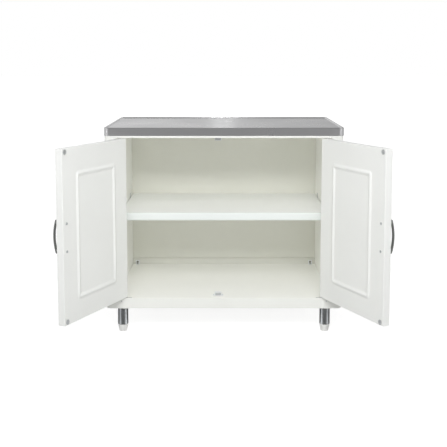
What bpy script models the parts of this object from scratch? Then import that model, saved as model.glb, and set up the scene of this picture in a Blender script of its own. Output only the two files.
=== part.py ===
"""Floor cabinet with two pivoted doors, one shelf, a sheet-metal worktop and four levelling legs.

Metres, +Z up, the front towards -Y. The origin is on the floor, below the middle of the space that the
cabinet takes with both doors open. Every size that can be set by itself is named once below, and every
other size and place is worked out from those.
"""

import math

import bmesh
import bpy
from mathutils import Matrix, Vector

# Fits between neighbours
SEAT = 0.0003  # between pieces that rest on each other or are let into each other
OVERRUN = 0.004  # how far a cutter runs past the face that it opens

# Case
TOP_WIDTH = 0.900  # the worktop, left to right
CASE_DEPTH = 0.550  # side, floor and roof boards, front to back
INNER_HEIGHT = 0.612  # between the floor board and the roof board
SIDE_THICK = 0.045
FLOOR_THICK = 0.040
ROOF_THICK = 0.0325
BACK_THICK = 0.006
CORNER_ROUND = 0.022  # the worktop's front corners, seen from above
EDGE_ROUND = 0.003  # eased edges of the case boards
CLEAT_HEIGHT = 0.025
CLEAT_THICK = 0.012
CLEAT_ROUND = 0.001
BACK_ROUND = 0.0005

# Worktop cap
SHEET = 0.002
LIP_HEIGHT = 0.030
RIM_HEIGHT = 0.0032  # how far the rim stands above the work surface
RIM_WIDTH = 0.007
RIM_SLOPE = 0.004
RIM_ROUND = 0.0025
REAR_ROUND = 0.0035

# Doors
DOOR_THICK = 0.028
DOOR_GAP = 0.003  # round each door, and between the two
DOOR_RECESS = 0.001  # closed door's outer face behind the case's front
DOOR_ROUND = 0.002
OPEN_ANGLE = 115.7  # degrees from closed, as the doors stand here
BEAD_WIDTH = 0.024  # raised bead round the field of each face
BEAD_HEIGHT = 0.004
SIDE_BORDER = 0.074  # plain border outside the bead, at the door's upright edges
HEAD_BORDER = 0.081  # and at its top
FOOT_BORDER = 0.071  # and at its bottom

# Pivots
PIVOT_INSET = 0.010  # pin centre from the door's hinge edge
PIVOT_BACK = 0.006  # pin centre from the door's outer face
PIN_RADIUS = 0.0025
PIN_REACH = 0.011  # pin above its leaf
PIN_CHAMFER = 0.0008
LEAF_LENGTH = 0.046
LEAF_WIDTH = 0.0072
LEAF_THICK = 0.0024
LEAF_END = 0.006  # pin centre to the near end of the leaf
WASHER_RADIUS = 0.0055  # nylon washer that carries the door

# Countersunk screws
SCREW_HEAD = 0.0026  # radius
SCREW_SINK = 0.0012  # depth of the head's cone
SCREW_SHANK = 0.0014  # radius
SCREW_LENGTH = 0.013

# Shelf and its clips
SHELF_THICK = 0.030
SHELF_LEVEL = 0.315  # shelf top above the floor board
SHELF_SET_BACK = 0.073  # from the case's front
SHELF_REAR_GAP = 0.001
SHELF_ROUND = 0.005
CLIP_THICK = 0.0015
CLIP_WIDTH = 0.012
CLIP_FOOT = 0.012
CLIP_TOP = 0.006  # clip above its peg's centre
CLIP_RISE = 0.010  # peg above the shelf, about: the nearest hole is used
PEG_RADIUS = 0.0025
PEG_LENGTH = 0.008
HOLE_DEPTH = 0.011
LOWEST_HOLE = 0.033  # above the floor board
HOLE_PITCH = 0.146
FRONT_ROW = 0.118  # hole rows from the case's front
REAR_ROW = 0.095  # and from its rear

# Catches and strikes
STRIKE_INSET = 0.0155  # centre of a strike from the door's free edge
CATCH_INSET = 0.0205  # centre of a catch from the closed door's free edge
STRIKE_RADIUS = 0.0088
STRIKE_THICK = 0.0015
STRIKE_ROUND = 0.0006
STRIKE_EDGE = 0.012  # strike's centre from the door's top or bottom edge
CATCH_LENGTH = 0.040
CATCH_HEIGHT = 0.013
CATCH_DEPTH = 0.015
CATCH_ROUND = 0.0015
CATCH_GAP = 0.0005  # magnet to strike with the door closed
MAGNET_LENGTH = 0.021
MAGNET_HEIGHT = 0.0085
MAGNET_PROUD = 0.002
MAGNET_DEPTH = 0.008

# Handles
HANDLE_CENTRES = 0.096
HANDLE_OVERHANG = 0.011  # bar beyond the centre of each post
HANDLE_INSET = 0.020  # from the door's free edge
HANDLE_REACH = 0.0265  # outside of the bar above the door's face
HANDLE_ARCH = 0.180  # radius of the bar's middle line
HANDLE_WIDTH = 0.012
HANDLE_THICK = 0.007
HANDLE_TIP = 0.004  # length over which each end is rounded off
POST_RADIUS = 0.0045
POST_FOOT = 0.006
POST_FOOT_HEIGHT = 0.0025
BOLT_HEAD = 0.0048
BOLT_HEAD_HEIGHT = 0.0018
BOLT_SHANK = 0.002
BOLT_BITE = 0.008  # into the handle's post

# Legs
LEG_HEIGHT = 0.105
LEG_RADIUS = 0.020
LEG_WALL = 0.0012
LEG_SIDE_INSET = 0.0567  # leg centre from the case's side
LEG_FRONT_INSET = 0.060  # leg centre from the case's front, and the same at the rear
PLATE_RADIUS = 0.031
PLATE_THICK = 0.003
BOSS_HEIGHT = 0.012
FOOT_HEIGHT = 0.028
FOOT_TOP = 0.0192  # radii of the foot, top to bottom
FOOT_WAIST = 0.0182
FOOT_SOLE = 0.0145
FOOT_COLLAR = 0.005
FOOT_ROUND = 0.002
STEM_HEIGHT = 0.036
STEM_FIT = 0.0006  # between the stem and the tube

# Corner brackets and front screws
BRACKET_LEG = 0.016
BRACKET_WIDTH = 0.016
BRACKET_THICK = 0.0015
BRACKET_FROM_SIDE = 0.021
LOCK_SCREW_DROP = 0.012  # below the top of the floor board

# Facets
ROUND_STEPS = 24
SMALL_STEPS = 10
CORNER_STEPS = 8
LEAF_STEPS = 4
EASE_STEPS = 3
BEAD_STEPS = 6
BOW_STEPS = 10
BAR_SIDES = 12
PLATE_SCREWS = 4
SMOOTH_LIMIT = math.radians(40)
BEVEL_LIMIT = math.radians(60)

# Derived sizes of the case
CAP_OVERHANG = SHEET + SEAT
CASE_WIDTH = TOP_WIDTH - 2 * CAP_OVERHANG
INNER_WIDTH = CASE_WIDTH - 2 * SIDE_THICK
CASE_ROUND = CORNER_ROUND - CAP_OVERHANG
FLOOR_TOP = LEG_HEIGHT + FLOOR_THICK
ROOF_UNDER = FLOOR_TOP + INNER_HEIGHT
ROOF_TOP = ROOF_UNDER + ROOF_THICK
SURFACE = ROOF_TOP + SEAT + SHEET
RIM_TOP = SURFACE + RIM_HEIGHT
BACK_FACE = CASE_DEPTH + SEAT + BACK_THICK
CAP_REAR = BACK_FACE + CAP_OVERHANG
SHELF_TOP = FLOOR_TOP + SHELF_LEVEL

# Derived sizes of the doors
DOOR_WIDTH = (INNER_WIDTH - DOOR_GAP) / 2 - DOOR_GAP
DOOR_BOTTOM = FLOOR_TOP + DOOR_GAP
DOOR_TOP = ROOF_UNDER - DOOR_GAP
DOOR_MIDDLE = (DOOR_BOTTOM + DOOR_TOP) / 2
PIVOT_X = INNER_WIDTH / 2 - DOOR_GAP - PIVOT_INSET
PIVOT_Y = DOOR_RECESS + PIVOT_BACK
DOOR_INNER = DOOR_THICK - PIVOT_BACK  # pin centre to the inner face
DOOR_REACH = DOOR_WIDTH - PIVOT_INSET  # pin centre to the free edge
CATCH_FRONT = DOOR_RECESS + DOOR_THICK + SEAT + STRIKE_THICK + CATCH_GAP + MAGNET_PROUD
OPEN = math.radians(OPEN_ANGLE)

# The origin is half way between the open doors' front and the worktop's rear
CORNER_TURN = OPEN - math.atan2(DOOR_INNER - DOOR_ROUND, DOOR_REACH - DOOR_ROUND)
FREE_CORNER = math.hypot(DOOR_REACH - DOOR_ROUND, DOOR_INNER - DOOR_ROUND)
FRONTMOST = PIVOT_Y - FREE_CORNER * math.sin(CORNER_TURN) - DOOR_ROUND
FRONT = -(FRONTMOST + CAP_REAR) / 2  # world Y of the case's front

SIDES = {"left": -1, "right": 1}


for item in list(bpy.data.objects):
    bpy.data.objects.remove(item, do_unlink=True)


def material(name, colour, roughness, metallic=0.0):
    """A Principled material with one colour."""
    made = bpy.data.materials.new(name)
    made.use_nodes = True
    shader = made.node_tree.nodes["Principled BSDF"]
    shader.inputs["Base Color"].default_value = (*colour, 1.0)
    shader.inputs["Roughness"].default_value = roughness
    shader.inputs["Metallic"].default_value = metallic
    return made


def place(name, mesh, location, finish, parent=None):
    """Turns a bmesh into a named object at its place, with its faces pointing out."""
    bmesh.ops.recalc_face_normals(mesh, faces=mesh.faces)
    data = bpy.data.meshes.new(name)
    mesh.to_mesh(data)
    mesh.free()
    made = bpy.data.objects.new(name, data)
    bpy.context.scene.collection.objects.link(made)
    made.location = location
    made.parent = parent
    if finish is not None:
        data.materials.append(finish)
        data.shade_smooth()
        data.set_sharp_from_angle(angle=SMOOTH_LIMIT)
    return made


def ease(piece, width):
    """Rounds the sharp edges of a piece."""
    bevel = piece.modifiers.new("eased edges", "BEVEL")
    bevel.width = width
    bevel.segments = EASE_STEPS
    bevel.limit_method = "ANGLE"
    bevel.angle_limit = BEVEL_LIMIT
    return piece


def cut(piece, helper, operation="DIFFERENCE"):
    """Cuts a hidden helper out of a piece, or joins it on."""
    change = piece.modifiers.new(helper.name, "BOOLEAN")
    change.operation = operation
    change.object = helper


def box_mesh(low, high):
    """A box between two corners."""
    low = Vector(low)
    high = Vector(high)
    mesh = bmesh.new()
    for corner in bmesh.ops.create_cube(mesh, size=1)["verts"]:
        corner.co = (low + high) / 2 + corner.co * (high - low)
    return mesh


def bridge(mesh, one, two):
    """Joins two rings of as many points with faces."""
    for index in range(len(one)):
        after = (index + 1) % len(one)
        mesh.faces.new((one[index], two[index], two[after], one[after]))


def rounded_plan(x0, x1, y0, y1, radii):
    """Corner by corner round a rectangle seen from above: front left, front right, rear right, rear left."""
    corners = ((x0, y0, 180), (x1, y0, 270), (x1, y1, 0), (x0, y1, 90))
    points = []
    for (x, y, start), (radius, steps) in zip(corners, radii):
        centre_x = x + radius if x == x0 else x - radius
        centre_y = y + radius if y == y0 else y - radius
        for step in range(steps + 1):
            turn = math.radians(start + 90 * step / steps)
            points.append((centre_x + radius * math.cos(turn), centre_y + radius * math.sin(turn)))
    return points


def add_plan(mesh, points, z0, z1):
    """Adds a flat outline, extruded up from z0 to z1."""
    lower = [mesh.verts.new((x, y, z0)) for x, y in points]
    upper = [mesh.verts.new((x, y, z1)) for x, y in points]
    mesh.faces.new(reversed(lower))
    mesh.faces.new(upper)
    for index in range(len(points)):
        after = (index + 1) % len(points)
        mesh.faces.new((lower[index], lower[after], upper[after], upper[index]))


def add_turned(mesh, profile, steps, where, closed=False):
    """Adds a turned shape: profile holds (radius, height) points, and where is its matrix."""
    rings = []
    for radius, height in profile:
        if radius == 0:
            rings.append([mesh.verts.new(where @ Vector((0, 0, height)))])
            continue
        turns = [2 * math.pi * step / steps for step in range(steps)]
        points = [Vector((radius * math.cos(turn), radius * math.sin(turn), height)) for turn in turns]
        rings.append([mesh.verts.new(where @ point) for point in points])
    pairs = list(zip(rings, rings[1:]))
    if closed:
        pairs.append((rings[-1], rings[0]))
    for one, two in pairs:
        for step in range(steps):
            after = (step + 1) % steps
            if len(one) == 1:
                mesh.faces.new((one[0], two[after], two[step]))
            elif len(two) == 1:
                mesh.faces.new((one[step], one[after], two[0]))
            else:
                mesh.faces.new((one[step], one[after], two[after], two[step]))


def add_screw(mesh, point, facing, extra=0.0):
    """Adds a countersunk screw with its head's face at a point; extra widens it into its own hole."""
    turn = Vector((0, 0, 1)).rotation_difference(Vector(facing)).to_matrix().to_4x4()
    profile = (
        (0, extra),
        (SCREW_HEAD + extra, extra),
        (SCREW_SHANK + extra, -SCREW_SINK),
        (SCREW_SHANK + extra, -SCREW_LENGTH),
        (0, -SCREW_LENGTH - SCREW_SHANK - extra),
    )
    add_turned(mesh, profile, SMALL_STEPS, Matrix.Translation(point) @ turn)


def screw_holes(places):
    """One mesh of the holes for several screws; each place is a point and the way that the head faces."""
    mesh = bmesh.new()
    for point, facing in places:
        add_screw(mesh, point, facing, SEAT)
    return mesh


def cutter(name, mesh, location=(0, 0, 0), parent=None):
    """A hidden helper that cuts or joins."""
    made = place(name, mesh, location, None, parent)
    made.hide_render = True
    made.display_type = "WIRE"
    return made


WHITE = material("painted_board", (0.80, 0.81, 0.78), 0.45)
INNER_WHITE = material("shelf_board", (0.80, 0.82, 0.80), 0.45)
DOOR_WHITE = material("painted_door", (0.82, 0.83, 0.80), 0.40)
SATIN_METAL = material("satin_worktop", (0.45, 0.45, 0.46), 0.35, 1.0)
DARK_METAL = material("dark_handle", (0.16, 0.16, 0.16), 0.35, 1.0)
ZINC = material("zinc_hardware", (0.35, 0.35, 0.36), 0.40, 1.0)
CHROME = material("chrome_tube", (0.75, 0.75, 0.76), 0.12, 1.0)
PALE_PLASTIC = material("pale_plastic", (0.66, 0.67, 0.67), 0.50)
WHITE_PLASTIC = material("white_plastic", (0.82, 0.83, 0.82), 0.45)
MAGNET_GREY = material("magnet", (0.12, 0.12, 0.13), 0.55)


def case_plan(x0, x1, front_left, front_right):
    """Outline of a case board; a front corner that is True has the worktop's large round."""
    large = (CASE_ROUND, CORNER_STEPS)
    small = (EDGE_ROUND, EASE_STEPS)
    radii = (large if front_left else small, large if front_right else small, small, small)
    return rounded_plan(x0, x1, FRONT, FRONT + CASE_DEPTH, radii)


def make_case():
    """Floor and roof boards across the full width, the sides between them, and the back planted on."""
    half = CASE_WIDTH / 2
    inner = INNER_WIDTH / 2
    rear = FRONT + CASE_DEPTH
    made = {}
    for name, z0, z1 in (("floor_board", LEG_HEIGHT, FLOOR_TOP), ("roof_board", ROOF_UNDER, ROOF_TOP)):
        mesh = bmesh.new()
        add_plan(mesh, case_plan(-half, half, True, True), z0, z1)
        made[name] = place(name, mesh, (0, 0, 0), WHITE)
    for side, sign in SIDES.items():
        mesh = bmesh.new()
        x0, x1 = sorted((sign * inner, sign * half))
        add_plan(mesh, case_plan(x0, x1, sign < 0, sign > 0), FLOOR_TOP + SEAT, ROOF_UNDER - SEAT)
        made[side] = place(side + "_side", mesh, (0, 0, 0), WHITE)
    front = (BACK_ROUND, EASE_STEPS)
    corner = (REAR_ROUND - CAP_OVERHANG, EASE_STEPS)
    plan = rounded_plan(-half, half, rear + SEAT, rear + SEAT + BACK_THICK, (front, front, corner, corner))
    mesh = bmesh.new()
    add_plan(mesh, plan, LEG_HEIGHT, ROOF_TOP)
    place("back_panel", mesh, (0, 0, 0), WHITE)
    mesh = box_mesh(
        (-inner + SEAT, rear - CLEAT_THICK, FLOOR_TOP + SEAT),
        (inner - SEAT, rear, FLOOR_TOP + SEAT + CLEAT_HEIGHT),
    )
    made["back_cleat"] = ease(place("back_cleat", mesh, (0, 0, 0), WHITE), CLEAT_ROUND)
    return made


def make_worktop():
    """Pressed sheet cap: lip, rounded arris, raised rim and the slope down to the work surface."""
    half = TOP_WIDTH / 2
    lip = RIM_TOP - LIP_HEIGHT
    inner_rim = RIM_WIDTH + RIM_SLOPE
    arris = []
    for step in range(EASE_STEPS + 1):
        turn = math.pi / 2 * step / EASE_STEPS
        arris.append((RIM_ROUND * (1 - math.cos(turn)), RIM_TOP - RIM_ROUND * (1 - math.sin(turn))))
    outside = [(0, lip)] + arris + [(RIM_WIDTH, RIM_TOP), (inner_rim, SURFACE)]
    inside = [
        (inner_rim, SURFACE - SHEET),
        (RIM_WIDTH, RIM_TOP - SHEET),
        (SHEET, RIM_TOP - SHEET),
        (SHEET, lip),
    ]
    mesh = bmesh.new()
    rings = []
    for inset, height in list(reversed(outside)) + list(reversed(inside)):
        rings.append([mesh.verts.new((x, y, height)) for x, y in cap_plan(half, inset)])
    mesh.faces.new(rings[0])
    mesh.faces.new(reversed(rings[-1]))
    for one, two in zip(rings, rings[1:]):
        bridge(mesh, one, two)
    place("worktop", mesh, (0, 0, 0), SATIN_METAL)


def cap_plan(half, inset):
    """The worktop's outline, drawn in by an inset."""
    front = (max(CORNER_ROUND - inset, SEAT), CORNER_STEPS)
    rear = (max(REAR_ROUND - inset, SEAT), EASE_STEPS)
    return rounded_plan(
        inset - half,
        half - inset,
        FRONT - CAP_OVERHANG + inset,
        FRONT + CAP_REAR - inset,
        (front, front, rear, rear),
    )


def hole_levels():
    """Heights of the shelf holes' centres."""
    levels = []
    level = LOWEST_HOLE
    while level < INNER_HEIGHT - LOWEST_HOLE:
        levels.append(FLOOR_TOP + level)
        level += HOLE_PITCH
    return levels


def make_shelf(case):
    """Shelf board on four angle clips, whose pegs sit in holes bored in the sides."""
    wall = INNER_WIDTH / 2
    end = wall - CLIP_THICK - 2 * SEAT
    rear = FRONT + CASE_DEPTH - SHELF_REAR_GAP
    mesh = box_mesh((-end, FRONT + SHELF_SET_BACK, SHELF_TOP - SHELF_THICK), (end, rear, SHELF_TOP))
    ease(place("shelf", mesh, (0, 0, 0), INNER_WHITE), SHELF_ROUND)

    under = SHELF_TOP - SHELF_THICK - SEAT
    peg_level = min(hole_levels(), key=lambda level: abs(level - SHELF_TOP - CLIP_RISE))
    top = peg_level + CLIP_TOP
    rows = (("front", FRONT + FRONT_ROW), ("rear", FRONT + CASE_DEPTH - REAR_ROW))
    for side, sign in SIDES.items():
        into_side = Matrix.Rotation(sign * math.pi / 2, 4, "Y")
        bores = bmesh.new()
        radius = PEG_RADIUS + SEAT
        for row, y in rows:
            for level in hole_levels():
                bore = ((0, -OVERRUN), (radius, -OVERRUN), (radius, HOLE_DEPTH), (0, HOLE_DEPTH))
                spot = Matrix.Translation((sign * wall, y, level))
                add_turned(bores, bore, SMALL_STEPS, spot @ into_side)

            face = wall - SEAT
            plate = face - CLIP_THICK
            profile = (
                (face, top),
                (face, under - CLIP_THICK),
                (face - CLIP_FOOT, under - CLIP_THICK),
                (face - CLIP_FOOT, under),
                (plate, under),
                (plate, top),
            )
            clip = bmesh.new()
            ends = []
            for edge in (-CLIP_WIDTH / 2, CLIP_WIDTH / 2):
                ends.append([clip.verts.new((sign * x, y + edge, z)) for x, z in profile])
            clip.faces.new(ends[0])
            clip.faces.new(reversed(ends[1]))
            bridge(clip, ends[0], ends[1])
            clip = place("shelf_clip_" + row + "_" + side, clip, (0, 0, 0), ZINC)
            peg = bmesh.new()
            spot = Matrix.Translation((sign * face, y, peg_level))
            root = -CLIP_THICK / 2
            profile = ((0, root), (PEG_RADIUS, root), (PEG_RADIUS, PEG_LENGTH), (0, PEG_LENGTH))
            add_turned(peg, profile, SMALL_STEPS, spot @ into_side)
            cut(clip, cutter("peg_" + row + "_" + side, peg), "UNION")
        cut(case[side], cutter("shelf_bores_" + side, bores))


def leaf_plan(inward, grow, at=(0, 0)):
    """Hinge leaf with round ends, seen from above, its pin centre at a point; grow widens it all round."""
    x0, x1 = sorted((-(LEAF_END + grow) * inward, (LEAF_LENGTH - LEAF_END + grow) * inward))
    half = LEAF_WIDTH / 2 + grow
    corner = (half - SEAT, LEAF_STEPS)
    return [(at[0] + x, at[1] + y) for x, y in rounded_plan(x0, x1, -half, half, (corner,) * 4)]


def leaf_screws(inward, level, up):
    """Places of a leaf's two screws, whose heads lie flush with its face."""
    first = (LEAF_LENGTH - LEAF_END) / 2
    second = LEAF_LENGTH - LEAF_END - LEAF_WIDTH / 2
    return [((x * inward, 0, level), (0, 0, up)) for x in (first, second)]


def make_case_pivots(case):
    """Steel leaves let into the floor and roof boards, with the pins and nylon washers of the doors."""
    ends = (("lower", "floor_board", FLOOR_TOP, 1), ("upper", "roof_board", ROOF_UNDER, -1))
    for end, board, face, up in ends:
        pockets = bmesh.new()
        bottom = face - up * LEAF_THICK
        for side, sign in SIDES.items():
            name = side + "_" + end + "_pivot"
            at = (sign * PIVOT_X, FRONT + PIVOT_Y, 0)
            mesh = bmesh.new()
            add_plan(mesh, leaf_plan(-sign, 0), *sorted((face, bottom)))
            leaf = place(name, mesh, at, ZINC)
            tip = face + up * PIN_REACH
            profile = (
                (0, face - up * LEAF_THICK / 2),
                (PIN_RADIUS, face - up * LEAF_THICK / 2),
                (PIN_RADIUS, tip - up * PIN_CHAMFER),
                (PIN_RADIUS - PIN_CHAMFER, tip),
                (0, tip),
            )
            pin = bmesh.new()
            add_turned(pin, profile, SMALL_STEPS, Matrix())
            cut(leaf, cutter(name + "_pin", pin, at), "UNION")
            cut(leaf, cutter(name + "_holes", screw_holes(leaf_screws(-sign, face, up)), at))
            add_plan(pockets, leaf_plan(-sign, SEAT, at), *sorted((face + up * OVERRUN, bottom - up * SEAT)))

            washer = bmesh.new()
            low = face + up * SEAT
            high = face + up * (DOOR_GAP - SEAT)
            bore = PIN_RADIUS + SEAT
            profile = ((bore, low), (WASHER_RADIUS, low), (WASHER_RADIUS, high), (bore, high))
            add_turned(washer, profile, ROUND_STEPS, Matrix(), closed=True)
            place(side + "_" + end + "_washer", washer, at, PALE_PLASTIC)
        cut(case[board], cutter(board + "_pockets", pockets))


def door_slab(x0, x1):
    """Door with a raised bead round the field of both faces, as rings from the outer field to the inner one."""
    mesh = bmesh.new()

    def ring(left, right, low, high, y):
        corners = ((left, low), (right, low), (right, high), (left, high))
        return [mesh.verts.new((x, y, z)) for x, z in corners]

    def bead(y, out):
        rings = []
        for step in range(BEAD_STEPS + 1):
            inset = BEAD_WIDTH * step / BEAD_STEPS
            rise = BEAD_HEIGHT * (1 - math.cos(2 * math.pi * step / BEAD_STEPS)) / 2
            left = x0 + SIDE_BORDER + inset
            right = x1 - SIDE_BORDER - inset
            low = DOOR_BOTTOM + FOOT_BORDER + inset
            high = DOOR_TOP - HEAD_BORDER - inset
            rings.append(ring(left, right, low, high, y + out * rise))
        return rings

    rings = list(reversed(bead(-PIVOT_BACK, -1)))
    rings.append(ring(x0, x1, DOOR_BOTTOM, DOOR_TOP, -PIVOT_BACK))
    rings.append(ring(x0, x1, DOOR_BOTTOM, DOOR_TOP, DOOR_INNER))
    rings.extend(bead(DOOR_INNER, 1))
    mesh.faces.new(rings[0])
    mesh.faces.new(reversed(rings[-1]))
    for one, two in zip(rings, rings[1:]):
        bridge(mesh, one, two)
    return mesh


def bar_reach(height):
    """The bar's middle line above the door's face, at a height from the handle's middle."""
    return HANDLE_REACH - HANDLE_THICK / 2 - (HANDLE_ARCH - math.sqrt(HANDLE_ARCH ** 2 - height ** 2))


def bar_mesh():
    """The handle's bar: an oval swept along an arc, closed towards its ends, standing off the plane y 0."""
    half = HANDLE_CENTRES / 2 + HANDLE_OVERHANG
    straight = half - HANDLE_TIP
    path = []
    for step in range(1, EASE_STEPS):
        turn = math.pi / 2 * step / EASE_STEPS
        path.append((HANDLE_TIP * (1 - math.cos(turn)) - half, math.sin(turn)))
    for step in range(BOW_STEPS + 1):
        path.append((straight * (2 * step / BOW_STEPS - 1), 1))
    path.extend([(-height, share) for height, share in reversed(path[: EASE_STEPS - 1])])
    mesh = bmesh.new()
    rings = []
    for height, share in path:
        tilt = math.asin(height / HANDLE_ARCH)
        across = Vector((0, -math.cos(tilt), math.sin(tilt)))
        ring = []
        for corner in range(BAR_SIDES):
            turn = 2 * math.pi * corner / BAR_SIDES
            side = share * HANDLE_WIDTH / 2 * math.cos(turn)
            point = Vector((side, -bar_reach(height), height))
            ring.append(mesh.verts.new(point + across * (share * HANDLE_THICK / 2 * math.sin(turn))))
        rings.append(ring)
    mesh.faces.new(rings[0])
    mesh.faces.new(reversed(rings[-1]))
    for one, two in zip(rings, rings[1:]):
        bridge(mesh, one, two)
    return mesh


def make_handle(side, door, axis, inward):
    """Arched bar on two posts, on the door's outer face, held by two screws from the inside."""
    at = (inward * (DOOR_REACH - HANDLE_INSET), -PIVOT_BACK - SEAT, DOOR_MIDDLE)
    handle = place(side + "_handle", bar_mesh(), at, DARK_METAL, axis)
    posts = bmesh.new()
    bores = bmesh.new()
    passages = bmesh.new()
    bore = BOLT_SHANK + SEAT
    top = bar_reach(HANDLE_CENTRES / 2)
    seat = -(DOOR_THICK + 2 * SEAT)
    for end, level in (("lower", -HANDLE_CENTRES / 2), ("upper", HANDLE_CENTRES / 2)):
        outward = Matrix.Translation((0, 0, level)) @ Matrix.Rotation(math.pi / 2, 4, "X")
        profile = (
            (0, 0),
            (POST_FOOT, 0),
            (POST_FOOT, POST_FOOT_HEIGHT / 2),
            (POST_RADIUS, POST_FOOT_HEIGHT),
            (POST_RADIUS, top),
            (0, top),
        )
        add_turned(posts, profile, ROUND_STEPS, outward)
        profile = ((0, -OVERRUN), (bore, -OVERRUN), (bore, BOLT_BITE + SEAT), (0, BOLT_BITE + SEAT))
        add_turned(bores, profile, SMALL_STEPS, outward)
        profile = ((0, OVERRUN), (bore, OVERRUN), (bore, seat - OVERRUN), (0, seat - OVERRUN))
        add_turned(passages, profile, SMALL_STEPS, outward)
        screw = bmesh.new()
        profile = (
            (0, BOLT_BITE),
            (BOLT_SHANK, BOLT_BITE),
            (BOLT_SHANK, seat),
            (BOLT_HEAD, seat),
            (BOLT_HEAD, seat - BOLT_HEAD_HEIGHT / 2),
            (BOLT_HEAD - BOLT_HEAD_HEIGHT / 2, seat - BOLT_HEAD_HEIGHT),
            (0, seat - BOLT_HEAD_HEIGHT),
        )
        add_turned(screw, profile, SMALL_STEPS, outward)
        place(side + "_handle_screw_" + end, screw, at, ZINC, axis)
    cut(handle, cutter(side + "_handle_posts", posts, at, axis), "UNION")
    cut(handle, cutter(side + "_handle_bores", bores, at, axis))
    cut(door, cutter(side + "_handle_passages", passages, at, axis))


def make_door(side, sign):
    """A door and what it carries, on an empty that stands on its pivots' axis."""
    inward = -sign
    axis = bpy.data.objects.new(side + "_door_axis", None)
    bpy.context.scene.collection.objects.link(axis)
    axis.location = (sign * PIVOT_X, FRONT + PIVOT_Y, 0)
    axis.rotation_euler.z = sign * OPEN
    x0, x1 = sorted((-inward * PIVOT_INSET, inward * DOOR_REACH))
    door = ease(place(side + "_door", door_slab(x0, x1), (0, 0, 0), DOOR_WHITE, axis), DOOR_ROUND)

    for end, face, up in (("lower", DOOR_BOTTOM, -1), ("upper", DOOR_TOP, 1)):
        name = side + "_" + end + "_door_leaf"
        bottom = face - up * LEAF_THICK
        mesh = bmesh.new()
        add_plan(mesh, leaf_plan(inward, 0), *sorted((face, bottom)))
        leaf = place(name, mesh, (0, 0, 0), ZINC, axis)
        out = face + up * OVERRUN
        pocket = bmesh.new()
        add_plan(pocket, leaf_plan(inward, SEAT), *sorted((out, bottom - up * SEAT)))
        cut(door, cutter(name + "_pocket", pocket, (0, 0, 0), axis))
        bore = PIN_RADIUS + SEAT
        deep = face - up * (PIN_REACH - DOOR_GAP + SEAT)
        eye = bmesh.new()
        add_turned(eye, ((0, out), (bore, out), (bore, deep), (0, deep)), SMALL_STEPS, Matrix())
        eye = cutter(name + "_eye", eye, (0, 0, 0), axis)
        cut(door, eye)
        cut(leaf, eye)
        cut(leaf, cutter(name + "_holes", screw_holes(leaf_screws(inward, face, up)), (0, 0, 0), axis))

    x = inward * (DOOR_REACH - STRIKE_INSET)
    for end, z in (("lower", DOOR_BOTTOM + STRIKE_EDGE), ("upper", DOOR_TOP - STRIKE_EDGE)):
        profile = (
            (0, SEAT),
            (STRIKE_RADIUS, SEAT),
            (STRIKE_RADIUS, STRIKE_THICK - STRIKE_ROUND + SEAT),
            (STRIKE_RADIUS - STRIKE_ROUND, STRIKE_THICK + SEAT),
            (0, STRIKE_THICK + SEAT),
        )
        inside = Matrix.Translation((x, DOOR_INNER, z)) @ Matrix.Rotation(-math.pi / 2, 4, "X")
        mesh = bmesh.new()
        add_turned(mesh, profile, ROUND_STEPS, inside)
        place(side + "_" + end + "_strike", mesh, (0, 0, 0), ZINC, axis)
    make_handle(side, door, axis, inward)


def make_catches():
    """Magnetic catches for the left door, under the roof board and on the floor board."""
    x = -(DOOR_GAP / 2 + CATCH_INSET)
    front = FRONT + CATCH_FRONT
    magnet_front = front - MAGNET_PROUD
    half = CATCH_LENGTH / 2
    reach = MAGNET_LENGTH / 2
    for end, face, up in (("lower", FLOOR_TOP, 1), ("upper", ROOF_UNDER, -1)):
        z0, z1 = sorted((face + up * SEAT, face + up * (SEAT + CATCH_HEIGHT)))
        middle = (z0 + z1) / 2
        mesh = box_mesh((x - half, front, z0), (x + half, front + CATCH_DEPTH, z1))
        housing = ease(place(end + "_catch", mesh, (0, 0, 0), WHITE_PLASTIC), CATCH_ROUND)
        low = Vector((x - reach, magnet_front, middle - MAGNET_HEIGHT / 2))
        high = Vector((x + reach, magnet_front + MAGNET_DEPTH, middle + MAGNET_HEIGHT / 2))
        place(end + "_catch_magnet", box_mesh(low, high), (0, 0, 0), MAGNET_GREY)
        fit = Vector((SEAT, SEAT, SEAT))
        cut(housing, cutter(end + "_catch_well", box_mesh(low - fit, high + fit)))


def make_brackets():
    """Small angles that tie the cleat to the floor board, drilled for a screw through each flange."""
    near = FRONT + CASE_DEPTH - CLEAT_THICK - SEAT
    low = FLOOR_TOP + SEAT
    middle = (BRACKET_THICK + BRACKET_LEG) / 2
    for side, sign in SIDES.items():
        x = sign * (INNER_WIDTH / 2 - BRACKET_FROM_SIDE)
        profile = (
            (near, low),
            (near, low + BRACKET_LEG),
            (near - BRACKET_THICK, low + BRACKET_LEG),
            (near - BRACKET_THICK, low + BRACKET_THICK),
            (near - BRACKET_LEG, low + BRACKET_THICK),
            (near - BRACKET_LEG, low),
        )
        mesh = bmesh.new()
        ends = []
        for edge in (x - BRACKET_WIDTH / 2, x + BRACKET_WIDTH / 2):
            ends.append([mesh.verts.new((edge, y, z)) for y, z in profile])
        mesh.faces.new(ends[0])
        mesh.faces.new(reversed(ends[1]))
        bridge(mesh, ends[0], ends[1])
        bracket = place(side + "_corner_bracket", mesh, (0, 0, 0), ZINC)
        places = [
            ((x, near - middle, low + BRACKET_THICK), (0, 0, 1)),
            ((x, near - BRACKET_THICK, low + middle), (0, -1, 0)),
        ]
        cut(bracket, cutter(side + "_bracket_holes", screw_holes(places)))


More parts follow.
